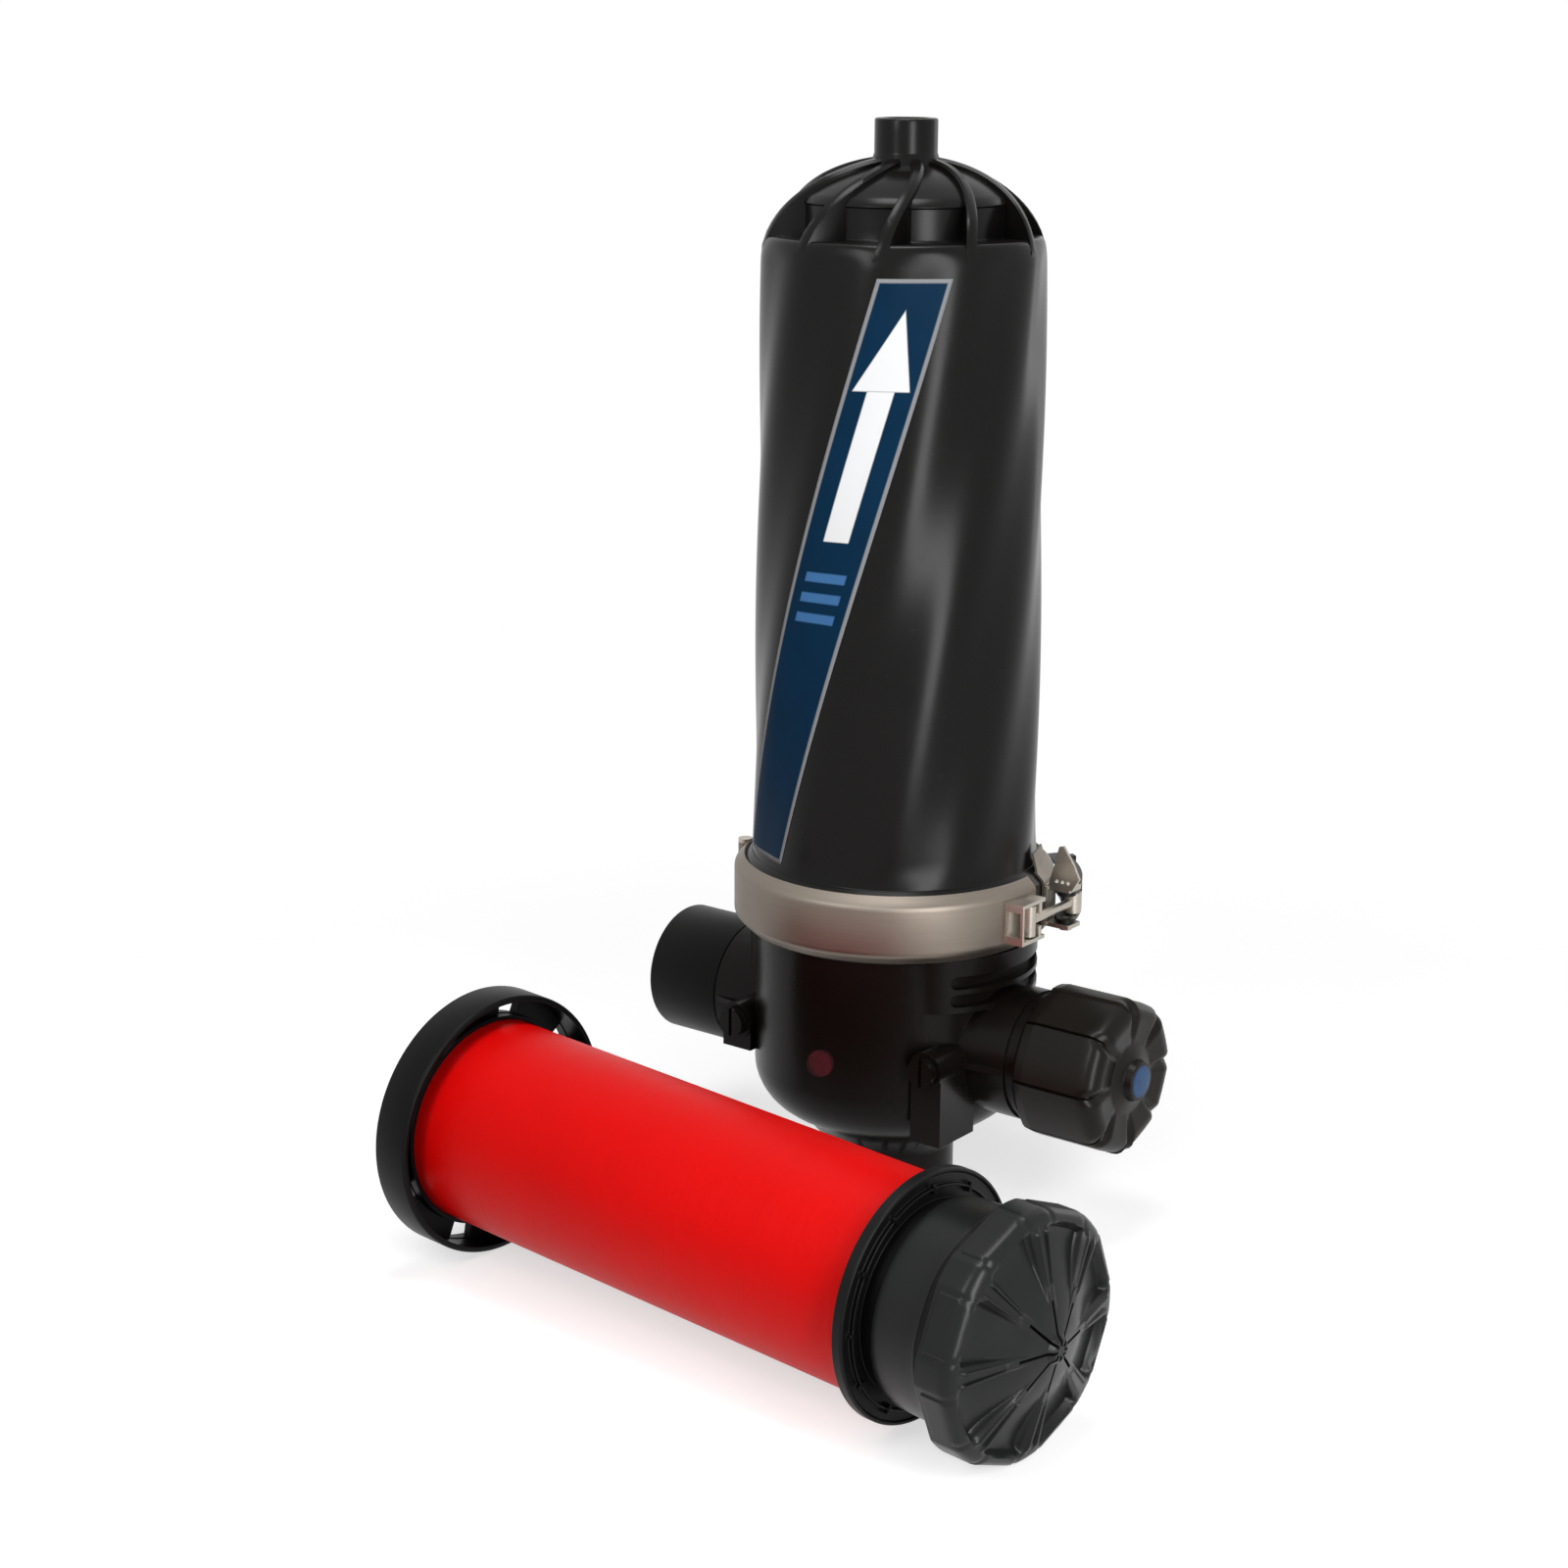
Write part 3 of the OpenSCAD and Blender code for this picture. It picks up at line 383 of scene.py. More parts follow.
# %% Outline and turning helpers
def rounded(corners, steps=4):
    """A closed outline from corners (radius, height, rounding), with an arc at each rounded corner."""
    outline = []
    count = len(corners)
    for i, (x, y, fillet) in enumerate(corners):
        here = Vector((x, y))
        back = Vector(corners[i - 1][:2]) - here
        ahead = Vector(corners[(i + 1) % count][:2]) - here
        if fillet <= 0:
            outline.append(here)
            continue
        half = back.angle(ahead) / 2
        reach = min(fillet / tan(half), 0.49 * back.length, 0.49 * ahead.length)
        radius = reach * tan(half)
        centre = here + (back.normalized() + ahead.normalized()).normalized() * radius / sin(half)
        start = here + back.normalized() * reach - centre
        end = here + ahead.normalized() * reach - centre
        sweep = start.angle_signed(end)
        for step in range(steps + 1):
            outline.append(centre + Matrix.Rotation(-sweep * step / steps, 2) @ start)
    return [(p.x, p.y) for p in outline]


def filled(outline, spacing):
    """The closed outline with points added, so that none is further than that from the next."""
    points = []
    for (x0, y0), (x1, y1) in zip(outline, outline[1:] + outline[:1]):
        parts = max(1, round(hypot(x1 - x0, y1 - y0) / spacing))
        points += [(x0 + (x1 - x0) * i / parts, y0 + (y1 - y0) * i / parts) for i in range(parts)]
    return points


def lofted(sections, angles):
    """A closed mesh through outlines of (radius, height) in mm, one for each angle about Z."""
    sections, turn = np.asarray(sections, float), np.asarray(angles)[:, None]
    r, z = sections[..., 0], sections[..., 1]
    points = np.stack([r * np.cos(turn), r * np.sin(turn), z], axis=-1).reshape(-1, 3) * MM
    around, along = r.shape
    faces = []
    for i in range(around):
        a, b = i * along, (i + 1) % around * along
        faces += [(a + k, b + k, b + (k + 1) % along, a + (k + 1) % along) for k in range(along)]
    return closed("lofted", points.tolist(), faces)


def closed(name, points, faces):
    """A mesh with its doubles merged, empty faces dropped and normals turned outwards."""
    mesh = bpy.data.meshes.new(name)
    mesh.from_pydata(points, [], faces)
    form = bmesh.new()
    form.from_mesh(mesh)
    bmesh.ops.remove_doubles(form, verts=form.verts, dist=1e-3 * MM)
    bmesh.ops.dissolve_degenerate(form, dist=1e-4 * MM, edges=form.edges)
    bmesh.ops.recalc_face_normals(form, faces=form.faces)
    form.to_mesh(mesh)
    form.free()
    return mesh


def turned(outline, count=128):
    """A mesh of one closed outline, in mm, spun about Z."""
    outline = np.array(outline, float)
    return lofted(np.broadcast_to(outline, (count, *outline.shape)), np.arange(count) * 2 * pi / count)


def piece(name, mesh, material, body, *nodes, place=None, sharp=radians(32)):
    """Makes a finished mesh a piece of the filter, in place of its nodes."""
    if place:
        mesh.transform(place)
    mesh.shade_smooth()
    mesh.set_sharp_from_angle(angle=sharp)
    mesh.materials.clear()
    mesh.materials.append(material)
    made = bpy.data.objects.new(name, mesh)
    scene.collection.objects.link(made)
    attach(made, body)
    if nodes:
        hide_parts(*nodes)
    mesh.calc_loop_triangles()
    print(f"{name}: {len(mesh.loop_triangles)} triangles")
    return made


body_of = {n: body for body, members in frame["record"]["behaviour"]["bodies"].items() for n in members}

# %% [markdown]
# ## Geometry Nodes that the lesson shares
# Two rules come back on several pieces. The first sets copies of one shape in a ring about the axis. The
# second presses helical ridges into a turned wall: it reads each point's angle and height, and moves the
# point inwards by a wave that leans as it climbs. Both are node trees with named sizes, and their
# result is taken as a plain mesh.

# %% End of a geometry tree
def finish_tree(tree, given, result, geometry):
    """Makes the geometry real, gives it the wanted finish and passes it out."""
    real = node(tree, "GeometryNodeRealizeInstances", {"Geometry": geometry})
    inputs = {"Geometry": real.outputs[0], "Material": given.outputs["Finish"]}
    painted = node(tree, "GeometryNodeSetMaterial", inputs)
    tree.links.new(painted.outputs[0], result.inputs["Geometry"])


# %% Tree: copies in a ring
ring_tree, given, result = new_tree("copies_in_a_ring", "GeometryNodeTree", {
    "Geometry": ("Geometry", None), "Count": ("Int", 8), "First angle": ("Float", 0.0),
    "Finish": ("Material", None),
}, {"Geometry": "Geometry"})
spots = node(ring_tree, "GeometryNodePoints", {"Count": given.outputs["Count"]})
step = math(ring_tree, "DIVIDE", 2 * pi, given.outputs["Count"])
turn = math(ring_tree, "MULTIPLY", node(ring_tree, "GeometryNodeInputIndex").outputs[0], step)
turn = math(ring_tree, "ADD", turn, given.outputs["First angle"])
about_z = node(ring_tree, "ShaderNodeCombineXYZ", {"Z": turn})
copies = node(ring_tree, "GeometryNodeInstanceOnPoints", {
    "Points": spots.outputs[0], "Instance": given.outputs["Geometry"], "Rotation": about_z.outputs[0]})
finish_tree(ring_tree, given, result, copies.outputs[0])

# %% Tree: helical ridges
ridge_tree, given, result = new_tree("helical_ridges", "GeometryNodeTree", {
    "Geometry": ("Geometry", None), "Count": ("Float", 10.0), "Depth": ("Float", 0.002),
    "Turn per m": ("Float", 3.0), "First angle": ("Float", 0.0), "Start height": ("Float", 0.6),
    "Finish": ("Material", None),
}, {"Geometry": "Geometry"})
position = node(ridge_tree, "GeometryNodeInputPosition").outputs[0]
xyz = node(ridge_tree, "ShaderNodeSeparateXYZ", {0: position}).outputs
angle = math(ridge_tree, "ARCTAN2", xyz["Y"], xyz["X"])
climb = math(ridge_tree, "SUBTRACT", xyz["Z"], given.outputs["Start height"])
lean = math(ridge_tree, "ADD", math(ridge_tree, "MULTIPLY", climb, given.outputs["Turn per m"]),
            given.outputs["First angle"])
wave = math(ridge_tree, "COSINE", math(ridge_tree, "MULTIPLY", math(ridge_tree, "SUBTRACT", angle, lean),
                                       given.outputs["Count"]))
dip = math(ridge_tree, "MULTIPLY", math(ridge_tree, "SUBTRACT", wave, 1.0), 0.5)
dip = math(ridge_tree, "MULTIPLY", dip, given.outputs["Depth"])
share = node(ridge_tree, "GeometryNodeInputNamedAttribute", {"Name": "ridged"}, data_type="FLOAT").outputs[0]
dip = math(ridge_tree, "MULTIPLY", dip, share)
flat_place = node(ridge_tree, "ShaderNodeCombineXYZ", {"X": xyz["X"], "Y": xyz["Y"]})
outwards = node(ridge_tree, "ShaderNodeVectorMath", {0: flat_place.outputs[0]}, operation="NORMALIZE")
move = node(ridge_tree, "ShaderNodeVectorMath", {0: outwards.outputs[0], "Scale": dip}, operation="SCALE")
inputs = {"Geometry": given.outputs["Geometry"], "Offset": move.outputs[0]}
pressed = node(ridge_tree, "GeometryNodeSetPosition", inputs)
finish_tree(ridge_tree, given, result, pressed.outputs[0])


# %% Run a tree
def grown(tree, mesh, sizes):
    """The plain mesh that a tree makes of a mesh, with the tree's sizes set by their sockets' identifiers."""
    holder = bpy.data.objects.new("holder", mesh)
    scene.collection.objects.link(holder)
    modifier = holder.modifiers.new("tree", "NODES")
    modifier.node_group = tree
    for socket in tree.interface.items_tree:
        if socket.in_out == "INPUT" and socket.name in sizes:
            modifier[socket.identifier] = sizes[socket.name]
    bpy.context.view_layer.update()
    made = bpy.data.meshes.new_from_object(holder.evaluated_get(bpy.context.evaluated_depsgraph_get()))
    bpy.data.objects.remove(holder)
    return made


def joined(*meshes):
    """One mesh with the shells of all of them."""
    form = bmesh.new()
    for mesh in meshes:
        form.from_mesh(mesh)
    made = bpy.data.meshes.new("joined")
    form.to_mesh(made)
    form.free()
    return made


def combined(first, other, operation):
    """The union or the difference of two closed meshes, as one skin."""
    holders = []
    for mesh in (first, other):
        holder = bpy.data.objects.new("holder", mesh)
        scene.collection.objects.link(holder)
        holders.append(holder)
    change = holders[0].modifiers.new("change", "BOOLEAN")
    change.operation = operation
    change.solver = "EXACT"
    change.use_self = True
    change.object = holders[1]
    bpy.context.view_layer.update()
    made = bpy.data.meshes.new_from_object(holders[0].evaluated_get(bpy.context.evaluated_depsgraph_get()))
    for holder in holders:
        bpy.data.objects.remove(holder)
    return made


print("trees:", ring_tree.name, ridge_tree.name)

# %% [markdown]
# ## Lid
# The lid is one tall moulding: a flange that the clamp grips, a wall pressed with ten helical ridges, a
# rounded shoulder, and a low dome with a nozzle, braced by ten curved fins. The wall and the dome are
# one turned outline, and the ridges tree presses only the points marked as the outside of the wall. One fin
# is drawn as a bent blade under the dome's curve, set round by the ring tree, and fused with the shell.

# %% Lid sizes
SPLIT_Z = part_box("lid")[0].z / MM
NOZZLE_TOP_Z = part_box("lid")[1].z / MM
SHOULDER_Z, LEDGE_Z, SHOULDER_IN, DOME_H = 635, 652, 5.5, 68
BASE_R, TOP_R, WALL = 97.5, 93.5, 5.5
FLANGE_R, FLANGE_UP, COLLAR_R, COLLAR_UP = 107.5, 15.7, 98.7, 24.5
WALL_FROM_UP = 25
NOZZLE_R, NOZZLE_BORE_R = 20.5, 15
ROOF_R, ROOF_H, DRUM_A = TOP_R - 3.5, DOME_H - 4, radians(39.2)
DRUM_R, DRUM_RECESS = ROOF_R * cos(DRUM_A), 1.5
RIDGES, RIDGE_DEPTH, RIDGE_TURN = 10, 2.0, radians(18) / 100
FIN_PHASE, FIN_SWIRL, FIN_T = radians(-65), radians(30), 8.0


def wall_r(z):
    """Radius of the wall at a height, without its ridges."""
    return BASE_R + (TOP_R - BASE_R) * (z - SPLIT_Z - WALL_FROM_UP) / (SHOULDER_Z - SPLIT_Z - WALL_FROM_UP)


def dome_arc(r, height, start, end, steps):
    """Points of a quarter ellipse over the shoulder, as corners without rounding."""
    turns = [start + (end - start) * i / steps for i in range(steps + 1)]
    return [(r * cos(a), SHOULDER_Z + height * sin(a), 0) for a in turns]


def shoulder_arc(steps):
    """Points of the rounded shoulder, from the wall in to the ledge."""
    turns = [pi / 2 * i / steps for i in range(steps + 1)]
    rise = LEDGE_Z - SHOULDER_Z
    return [(TOP_R - SHOULDER_IN * (1 - cos(a)), SHOULDER_Z + rise * sin(a), 0) for a in turns]


# %% Lid shell
NECK_A = 75.1
shell = rounded([
    (BASE_R - WALL, SPLIT_Z, 0.6), (FLANGE_R, SPLIT_Z, 1.0), (FLANGE_R, SPLIT_Z + FLANGE_UP, 1.5),
    (COLLAR_R, SPLIT_Z + COLLAR_UP, 1.0), (wall_r(SPLIT_Z + COLLAR_UP), SPLIT_Z + COLLAR_UP + 0.5, 1.0),
    *shoulder_arc(8), (DRUM_R - DRUM_RECESS, LEDGE_Z, 1.5),
    (DRUM_R - DRUM_RECESS, SHOULDER_Z + ROOF_H * sin(DRUM_A) - 3, 0.6),
    (DRUM_R, SHOULDER_Z + ROOF_H * sin(DRUM_A) - 2, 0.8),
    *dome_arc(ROOF_R, ROOF_H, DRUM_A, radians(NECK_A), 14)[1:],
    (NOZZLE_R, SHOULDER_Z + ROOF_H + 5, 3.0), (NOZZLE_R, NOZZLE_TOP_Z, 1.6),
    (NOZZLE_BORE_R, NOZZLE_TOP_Z, 1.0), (NOZZLE_BORE_R, SHOULDER_Z + ROOF_H - 8, 1.0),
    *dome_arc(ROOF_R - WALL, ROOF_H - WALL, DRUM_A, radians(NECK_A), 8)[::-1],
    (DRUM_R - DRUM_RECESS - WALL, LEDGE_Z - WALL, 1.0),
    (TOP_R - WALL - 2, LEDGE_Z - WALL, 4.0),
], steps=6)
shell = filled(shell, 6.0)
shell_mesh = turned(shell, 240)
ridged = shell_mesh.attributes.new("ridged", "FLOAT", "POINT")
LOW_FADE, TOP_FADE = SPLIT_Z + COLLAR_UP + 2, LEDGE_Z - 1.5


def ridge_share(z):
    """How much of the ridges' depth is there at a height: they fade out at both ends of the wall."""
    return max(0.0, min(1.0, (z - LOW_FADE) / 8, (TOP_FADE - z) / 12))


for point, mark in zip(shell_mesh.vertices, ridged.data):
    r, z = hypot(point.co.x, point.co.y) / MM, point.co.z / MM
    mark.value = ridge_share(z) if r > wall_r(min(z, SHOULDER_Z)) - WALL / 2 - 3 * (z > SHOULDER_Z) else 0.0
RIDGE_RULE = {
    "Count": float(RIDGES), "Depth": RIDGE_DEPTH * MM, "Turn per m": RIDGE_TURN / MM,
    "First angle": FIN_PHASE, "Start height": SHOULDER_Z * MM, "Finish": lid_black,
}
shell_mesh = grown(ridge_tree, shell_mesh, RIDGE_RULE)
print("lid shell:", len(shell_mesh.vertices), "points")


# %% One fin
FIN_STEPS = 28
FIN_ROUND, FIN_PROUD = 1.8, 0.4
FIN_FROM, FIN_TO, FIN_TOP_Z = NOZZLE_R - 4, TOP_R - 0.9, NOZZLE_TOP_Z - 24


def dome_z(r):
    """Height of the curve that the fins reach up to."""
    return SHOULDER_Z + DOME_H * sqrt(max(0.0, 1 - (r / (TOP_R + FIN_PROUD)) ** 2))


def foot_z(r):
    """Height, inside the moulding, that a fin starts from."""
    if r < DRUM_R - WALL:
        return SHOULDER_Z + ROOF_H * sqrt(1 - (r / ROOF_R) ** 2) - WALL / 2
    over_shoulder = min(1.0, max(0.0, 1 - (TOP_R - r) / SHOULDER_IN))
    return min(LEDGE_Z - 2, SHOULDER_Z + (LEDGE_Z - SHOULDER_Z) * sqrt(1 - over_shoulder ** 2) - 3)


fin_points, fin_faces = [], []
for i in range(FIN_STEPS + 1):
    share = i / FIN_STEPS
    r = FIN_FROM + (FIN_TO - FIN_FROM) * share
    a = FIN_SWIRL * (1 - (r - FIN_FROM) / (TOP_R + 2 - FIN_FROM))
    middle = Vector((r * cos(a), r * sin(a), 0))
    side = Vector((-sin(a + FIN_SWIRL * 0.1), cos(a + FIN_SWIRL * 0.1), 0))
    low, top = foot_z(r), min(dome_z(r), FIN_TOP_Z)
    half = FIN_T / 2
    for across, height in ((-half, low), (-half, top - FIN_ROUND), (-half + FIN_ROUND, top),
                           (half - FIN_ROUND, top), (half, top - FIN_ROUND), (half, low)):
        fin_points.append((middle + side * across + Vector((0, 0, height))) * MM)
SECTION = 6
for i in range(FIN_STEPS):
    a, b = i * SECTION, (i + 1) * SECTION
    fin_faces += [(a + k, a + (k + 1) % SECTION, b + (k + 1) % SECTION, b + k) for k in range(SECTION)]
fin_faces += [tuple(range(SECTION))[::-1], tuple(FIN_STEPS * SECTION + k for k in range(SECTION))]
fin_mesh = closed("fin", [tuple(p) for p in fin_points], fin_faces)
fins = grown(ring_tree, fin_mesh, {"Count": RIDGES, "First angle": FIN_PHASE, "Finish": lid_black})
piece("lid_moulding", combined(shell_mesh, fins, "UNION"), lid_black, "housing", "lid", sharp=radians(38))

# %% [markdown]
# ## Label
# A printed film follows the lid's ridges in a leaning strip. A flat grid is wrapped on the wall's cone,
# leaned at the same rate as the ridges, and sent through the same ridges tree, so it lies on the wall
# everywhere. The print is plain fields of colour, worked out from the strip's own UV map: a pale edge, a
# dark blue field, a plain arrow and three bars.

# %% Label film
film, tree, shader = shaded("label_film")
uv = node(tree, "ShaderNodeUVMap", uv_map="strip").outputs[0]
uv_xyz = node(tree, "ShaderNodeSeparateXYZ", {0: uv}).outputs
SOFT_U, SOFT_V = 0.012, 0.0018


def field(tree, uv_xyz, left, right_side, low, high):
    """1 inside a rectangle of the strip's UV map, with soft edges."""
    sides = [spread(tree, uv_xyz["X"], left - SOFT_U, left + SOFT_U),
             spread(tree, uv_xyz["X"], right_side + SOFT_U, right_side - SOFT_U),
             spread(tree, uv_xyz["Y"], low - SOFT_V, low + SOFT_V),
             spread(tree, uv_xyz["Y"], high + SOFT_V, high - SOFT_V)]
    inside = sides[0]
    for other in sides[1:]:
        inside = math(tree, "MULTIPLY", inside, other)
    return inside


EDGE_U, EDGE_V = 0.055, 0.0065
ARROW_LEFT, ARROW_RIGHT, ARROW_LOW, ARROW_NECK, ARROW_TIP, HEAD_SLOPE = 0.32, 0.68, 0.57, 0.82, 0.95, 2.9
BAR_LEFT, BAR_RIGHT, BAR_H, BARS_LOW = 0.2, 0.8, 0.016, (0.50, 0.465, 0.43)
blue_field = field(tree, uv_xyz, EDGE_U, 1 - EDGE_U, EDGE_V, 1 - EDGE_V)
shaft = field(tree, uv_xyz, ARROW_LEFT, ARROW_RIGHT, ARROW_LOW, ARROW_NECK)
from_tip = math(tree, "SUBTRACT", ARROW_TIP, uv_xyz["Y"])
off_middle = math(tree, "ABSOLUTE", math(tree, "SUBTRACT", uv_xyz["X"], 0.5))
slope = math(tree, "SUBTRACT", math(tree, "MULTIPLY", from_tip, HEAD_SLOPE), off_middle)
past_neck = spread(tree, uv_xyz["Y"], ARROW_NECK - SOFT_V, ARROW_NECK + SOFT_V)
head = math(tree, "MULTIPLY", spread(tree, slope, -SOFT_U, SOFT_U), past_neck)
arrow = math(tree, "MAXIMUM", shaft, head)
bars = [field(tree, uv_xyz, BAR_LEFT, BAR_RIGHT, low, low + BAR_H) for low in BARS_LOW]
stripes = math(tree, "MAXIMUM", bars[0], math(tree, "MAXIMUM", bars[1], bars[2]))
ink = noise(tree, object_place(tree), 30.0, 3.0)
blue = blend_colour(tree, ink, colour("#08243a"), colour("#0c2d48"))
print_colour = blend_colour(tree, blue_field, colour("#85878a"), blue)
print_colour = blend_colour(tree, arrow, print_colour, colour("#dfe1e2"))
print_colour = blend_colour(tree, stripes, print_colour, colour("#3f6c9c"))
tree.links.new(print_colour, shader.inputs["Base Color"])
tree.links.new(spread(tree, ink, 0.2, 0.8, 0.4, 0.5), shader.inputs["Roughness"])
shader.inputs["Specular IOR Level"].default_value = 0.03

# %% Label strip
LABEL_TOP_Z, LABEL_LOW_Z = 631.7, 243
LABEL_LEFT, LABEL_RIGHT = radians(-65), radians(-35.5)
LABEL_ACROSS, LABEL_ALONG = 40, 150
FILM_OFF, FILM_T = 0.25, 0.2
label_points = []
for k in range(LABEL_ALONG + 1):
    z = LABEL_LOW_Z + (LABEL_TOP_Z - LABEL_LOW_Z) * k / LABEL_ALONG
    for i in range(LABEL_ACROSS + 1):
        a = LABEL_LEFT + (LABEL_RIGHT - LABEL_LEFT) * i / LABEL_ACROSS + (z - LABEL_TOP_Z) * RIDGE_TURN
        r = wall_r(z) + FILM_OFF
        label_points.append((r * cos(a) * MM, r * sin(a) * MM, z * MM))
row = LABEL_ACROSS + 1
label_faces = [(k * row + i, k * row + i + 1, (k + 1) * row + i + 1, (k + 1) * row + i)
               for k in range(LABEL_ALONG) for i in range(LABEL_ACROSS)]
label_mesh = bpy.data.meshes.new("label")
label_mesh.from_pydata(label_points, [], label_faces)
strip = label_mesh.uv_layers.new(name="strip")
for corner in label_mesh.loops:
    k, i = divmod(corner.vertex_index, row)
    strip.data[corner.index].uv = (i / LABEL_ACROSS, k / LABEL_ALONG)
mark = label_mesh.attributes.new("ridged", "FLOAT", "POINT")
for point, share in zip(label_mesh.vertices, mark.data):
    share.value = ridge_share(point.co.z / MM)
label_mesh = grown(ridge_tree, label_mesh, RIDGE_RULE | {"Finish": film})
label = piece("label_film", label_mesh, film, "housing")
thick = label.modifiers.new("film", "SOLIDIFY")
thick.thickness = FILM_T * MM
thick.offset = 1.0

# %% [markdown]
# ## Pieces that keep the solid's shape
# The body, the clamp and the latch have the right shape already, but a solid's edges are knife sharp. A copy
# of the solid has its loose triangles merged, flat areas joined to whole faces, and then a small bevel
# on every hard edge, so that each edge catches the light as a real one does.

# %% Bevelled copies
FLAT_ANGLE = radians(0.4)


def bevelled(name, node_name, material, width, segments=2, hard=radians(34)):
    """A copy of a solid with rounded edges, in its place."""
    mesh = bpy.data.meshes.new(name)
    form = bmesh.new()
    form.from_mesh(frame["nodes"][node_name].data)
    bmesh.ops.remove_doubles(form, verts=form.verts, dist=2e-3 * MM)
    bmesh.ops.dissolve_limit(form, angle_limit=FLAT_ANGLE, verts=form.verts, edges=form.edges)
    form.to_mesh(mesh)
    form.free()
    for extra in [a.name for a in mesh.attributes if a.name.startswith("custom")]:
        mesh.attributes.remove(mesh.attributes[extra])
    made = piece(name, mesh, material, body_of[node_name], node_name, sharp=hard)
    bevel = made.modifiers.new("edges", "BEVEL")
    bevel.width = width * MM
    bevel.segments = segments
    bevel.limit_method = "ANGLE"
    bevel.angle_limit = hard
    bevel.harden_normals = False
    return made


bevelled("body_moulding", "body", body_black, 1.2)
bevelled("clamp_front_half", "clamp_front_band", clamp_steel, 0.4)
bevelled("clamp_rear_half", "clamp_rear_band", clamp_steel, 0.4)
bevelled("keeper_bracket", "latch_keeper", latch_steel, 0.5)
bevelled("winged_bracket", "latch_base", latch_steel, 0.5)
bevelled("latch_handle", "latch_lever", lever_black, 0.6)
bevelled("drawbolt", "tee_bolt", latch_steel, 0.4)
bevelled("inlet_pipe_sleeve", "inlet_sleeve", sleeve_black, 0.4)
bevelled("base_ring", "helix_base", ring_black, 0.6)
bevelled("disc_press_plate", "pressure_plate", plate_black, 0.5)

# %% [markdown]
# ## Discs
# The red cylinder is several hundred thin ringed discs pressed together. From a step away it is nearly
# smooth, with faint lines where the discs meet. The cartridge rests on the edge of its wide ring and on its
# cap's rim, so its axis leans down a little towards the cap. One matrix lays its pieces there.

# %% Disc stack
RING_TOUCH_S, CAP_TOUCH_S, RING_R, CAP_REST_R = 26, 454.1, 87, 76.5
TILT = np.arctan((RING_R - CAP_REST_R) / (CAP_TOUCH_S - RING_TOUCH_S))
LYING_Z = RING_TOUCH_S * sin(TILT) + RING_R * cos(TILT)
LYING_X, LYING_Y, LYING_TURN = -149, -262, radians(-4.3)
LYING = (Matrix.Translation(Vector((LYING_X, LYING_Y, LYING_Z)) * MM) @ Matrix.Rotation(LYING_TURN, 4, "Z")
         @ Matrix.Rotation(pi / 2 + TILT, 4, "Y"))
disc_red, tree, shader = shaded("disc_red_plastic")
surface = node(tree, "ShaderNodeGroup", node_tree=moulded)
surface.inputs["Colour"].default_value = colour("#d60302")
surface.inputs["Gloss loss"].default_value = 0.46
surface.inputs["Unevenness"].default_value = 0.15
tree.links.new(surface.outputs["Colour"], shader.inputs["Base Color"])
tree.links.new(surface.outputs["Roughness"], shader.inputs["Roughness"])
shader.inputs["Specular IOR Level"].default_value = 0.12
CREASES_PER_M, CREASE_DEPTH, GRAIN_SHARE = 14.0, 1.5, 0.02
creases = noise(tree, object_place(tree), CREASES_PER_M, 4.0, Distortion=1.5)
fine = math(tree, "MULTIPLY", surface.outputs["Height"], GRAIN_SHARE)
relief(tree, shader, math(tree, "ADD", creases, fine), CREASE_DEPTH * MM, 0.5)
STACK_S, STACK_LEN, DISC_R, DISC_BORE_R, DISCS = 8.3, 369, 67.5, 44, 184
DISC_SPREAD, GROOVE, END_IN = 0.04, 0.06, 0.2
chance = np.random.default_rng(7)
edge = []
for i in range(DISCS):
    s = STACK_S + STACK_LEN * i / DISCS
    pitch = STACK_LEN / DISCS
    r = DISC_R - DISC_SPREAD * chance.random()
    edge += [(r - GROOVE, s), (r, s + 0.22 * pitch), (r, s + 0.78 * pitch)]
stack_end = STACK_S + STACK_LEN
outline = [(DISC_BORE_R, STACK_S), *edge, (DISC_R - END_IN, stack_end), (DISC_BORE_R, stack_end)]
piece("red_discs", turned(outline, 120), disc_red, "housing", "disc_stack", place=LYING, sharp=radians(60))

# %% [markdown]
# ## Release spring
# Inside the cap a coil spring pushes on the plate at the end of the discs. When the plate slides towards
# the cap, the coil shortens: its far end stays on its seat, and each turn moves by its share of the plate's
# travel. Here a copy of the coil's solid takes a steel finish and goes with the body the solid belongs to.

# %% Spring
coil = frame["nodes"]["release_spring"].data.copy()
spring = piece("spring_coil", coil, rod_steel, body_of["release_spring"], "release_spring")
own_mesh(spring)

# %% [markdown]
# ## Caps with panels
# Both screw caps are gripped by hand, so their rims are panels that meet at corners or channels. Each cap
# is lofted: every angle has its own outline, all with the same number of points. The side's radius grows
# towards the ends of a panel, which makes the panel flat, or nearly so on the port's cap. The front of the
# cartridge's cap is a shallow cone with a pair of ribs at each corner, and the faces between the pairs are
# sunk. The front of the port's cap is dished round a raised middle, and each of its panels ends in a
# rounded lobe.

# %% Outlines with matching points
def spaced(corners, parts, steps=3):
    """A closed outline with arcs at rounded corners and a set number of points added on each side."""
    counts = [steps + 1 if c[2] > 0 else 1 for c in corners]
    arcs, points = rounded(corners, steps), []
    ends = np.cumsum(counts)
    for i, end in enumerate(ends):
        points += arcs[end - counts[i]:end]
        (x0, y0), (x1, y1) = arcs[end - 1], arcs[end % len(arcs)]
        share = [(k + 1) / (parts[i] + 1) for k in range(parts[i])]
        points += [(x0 + (x1 - x0) * t, y0 + (y1 - y0) * t) for t in share]
    return np.array(points)


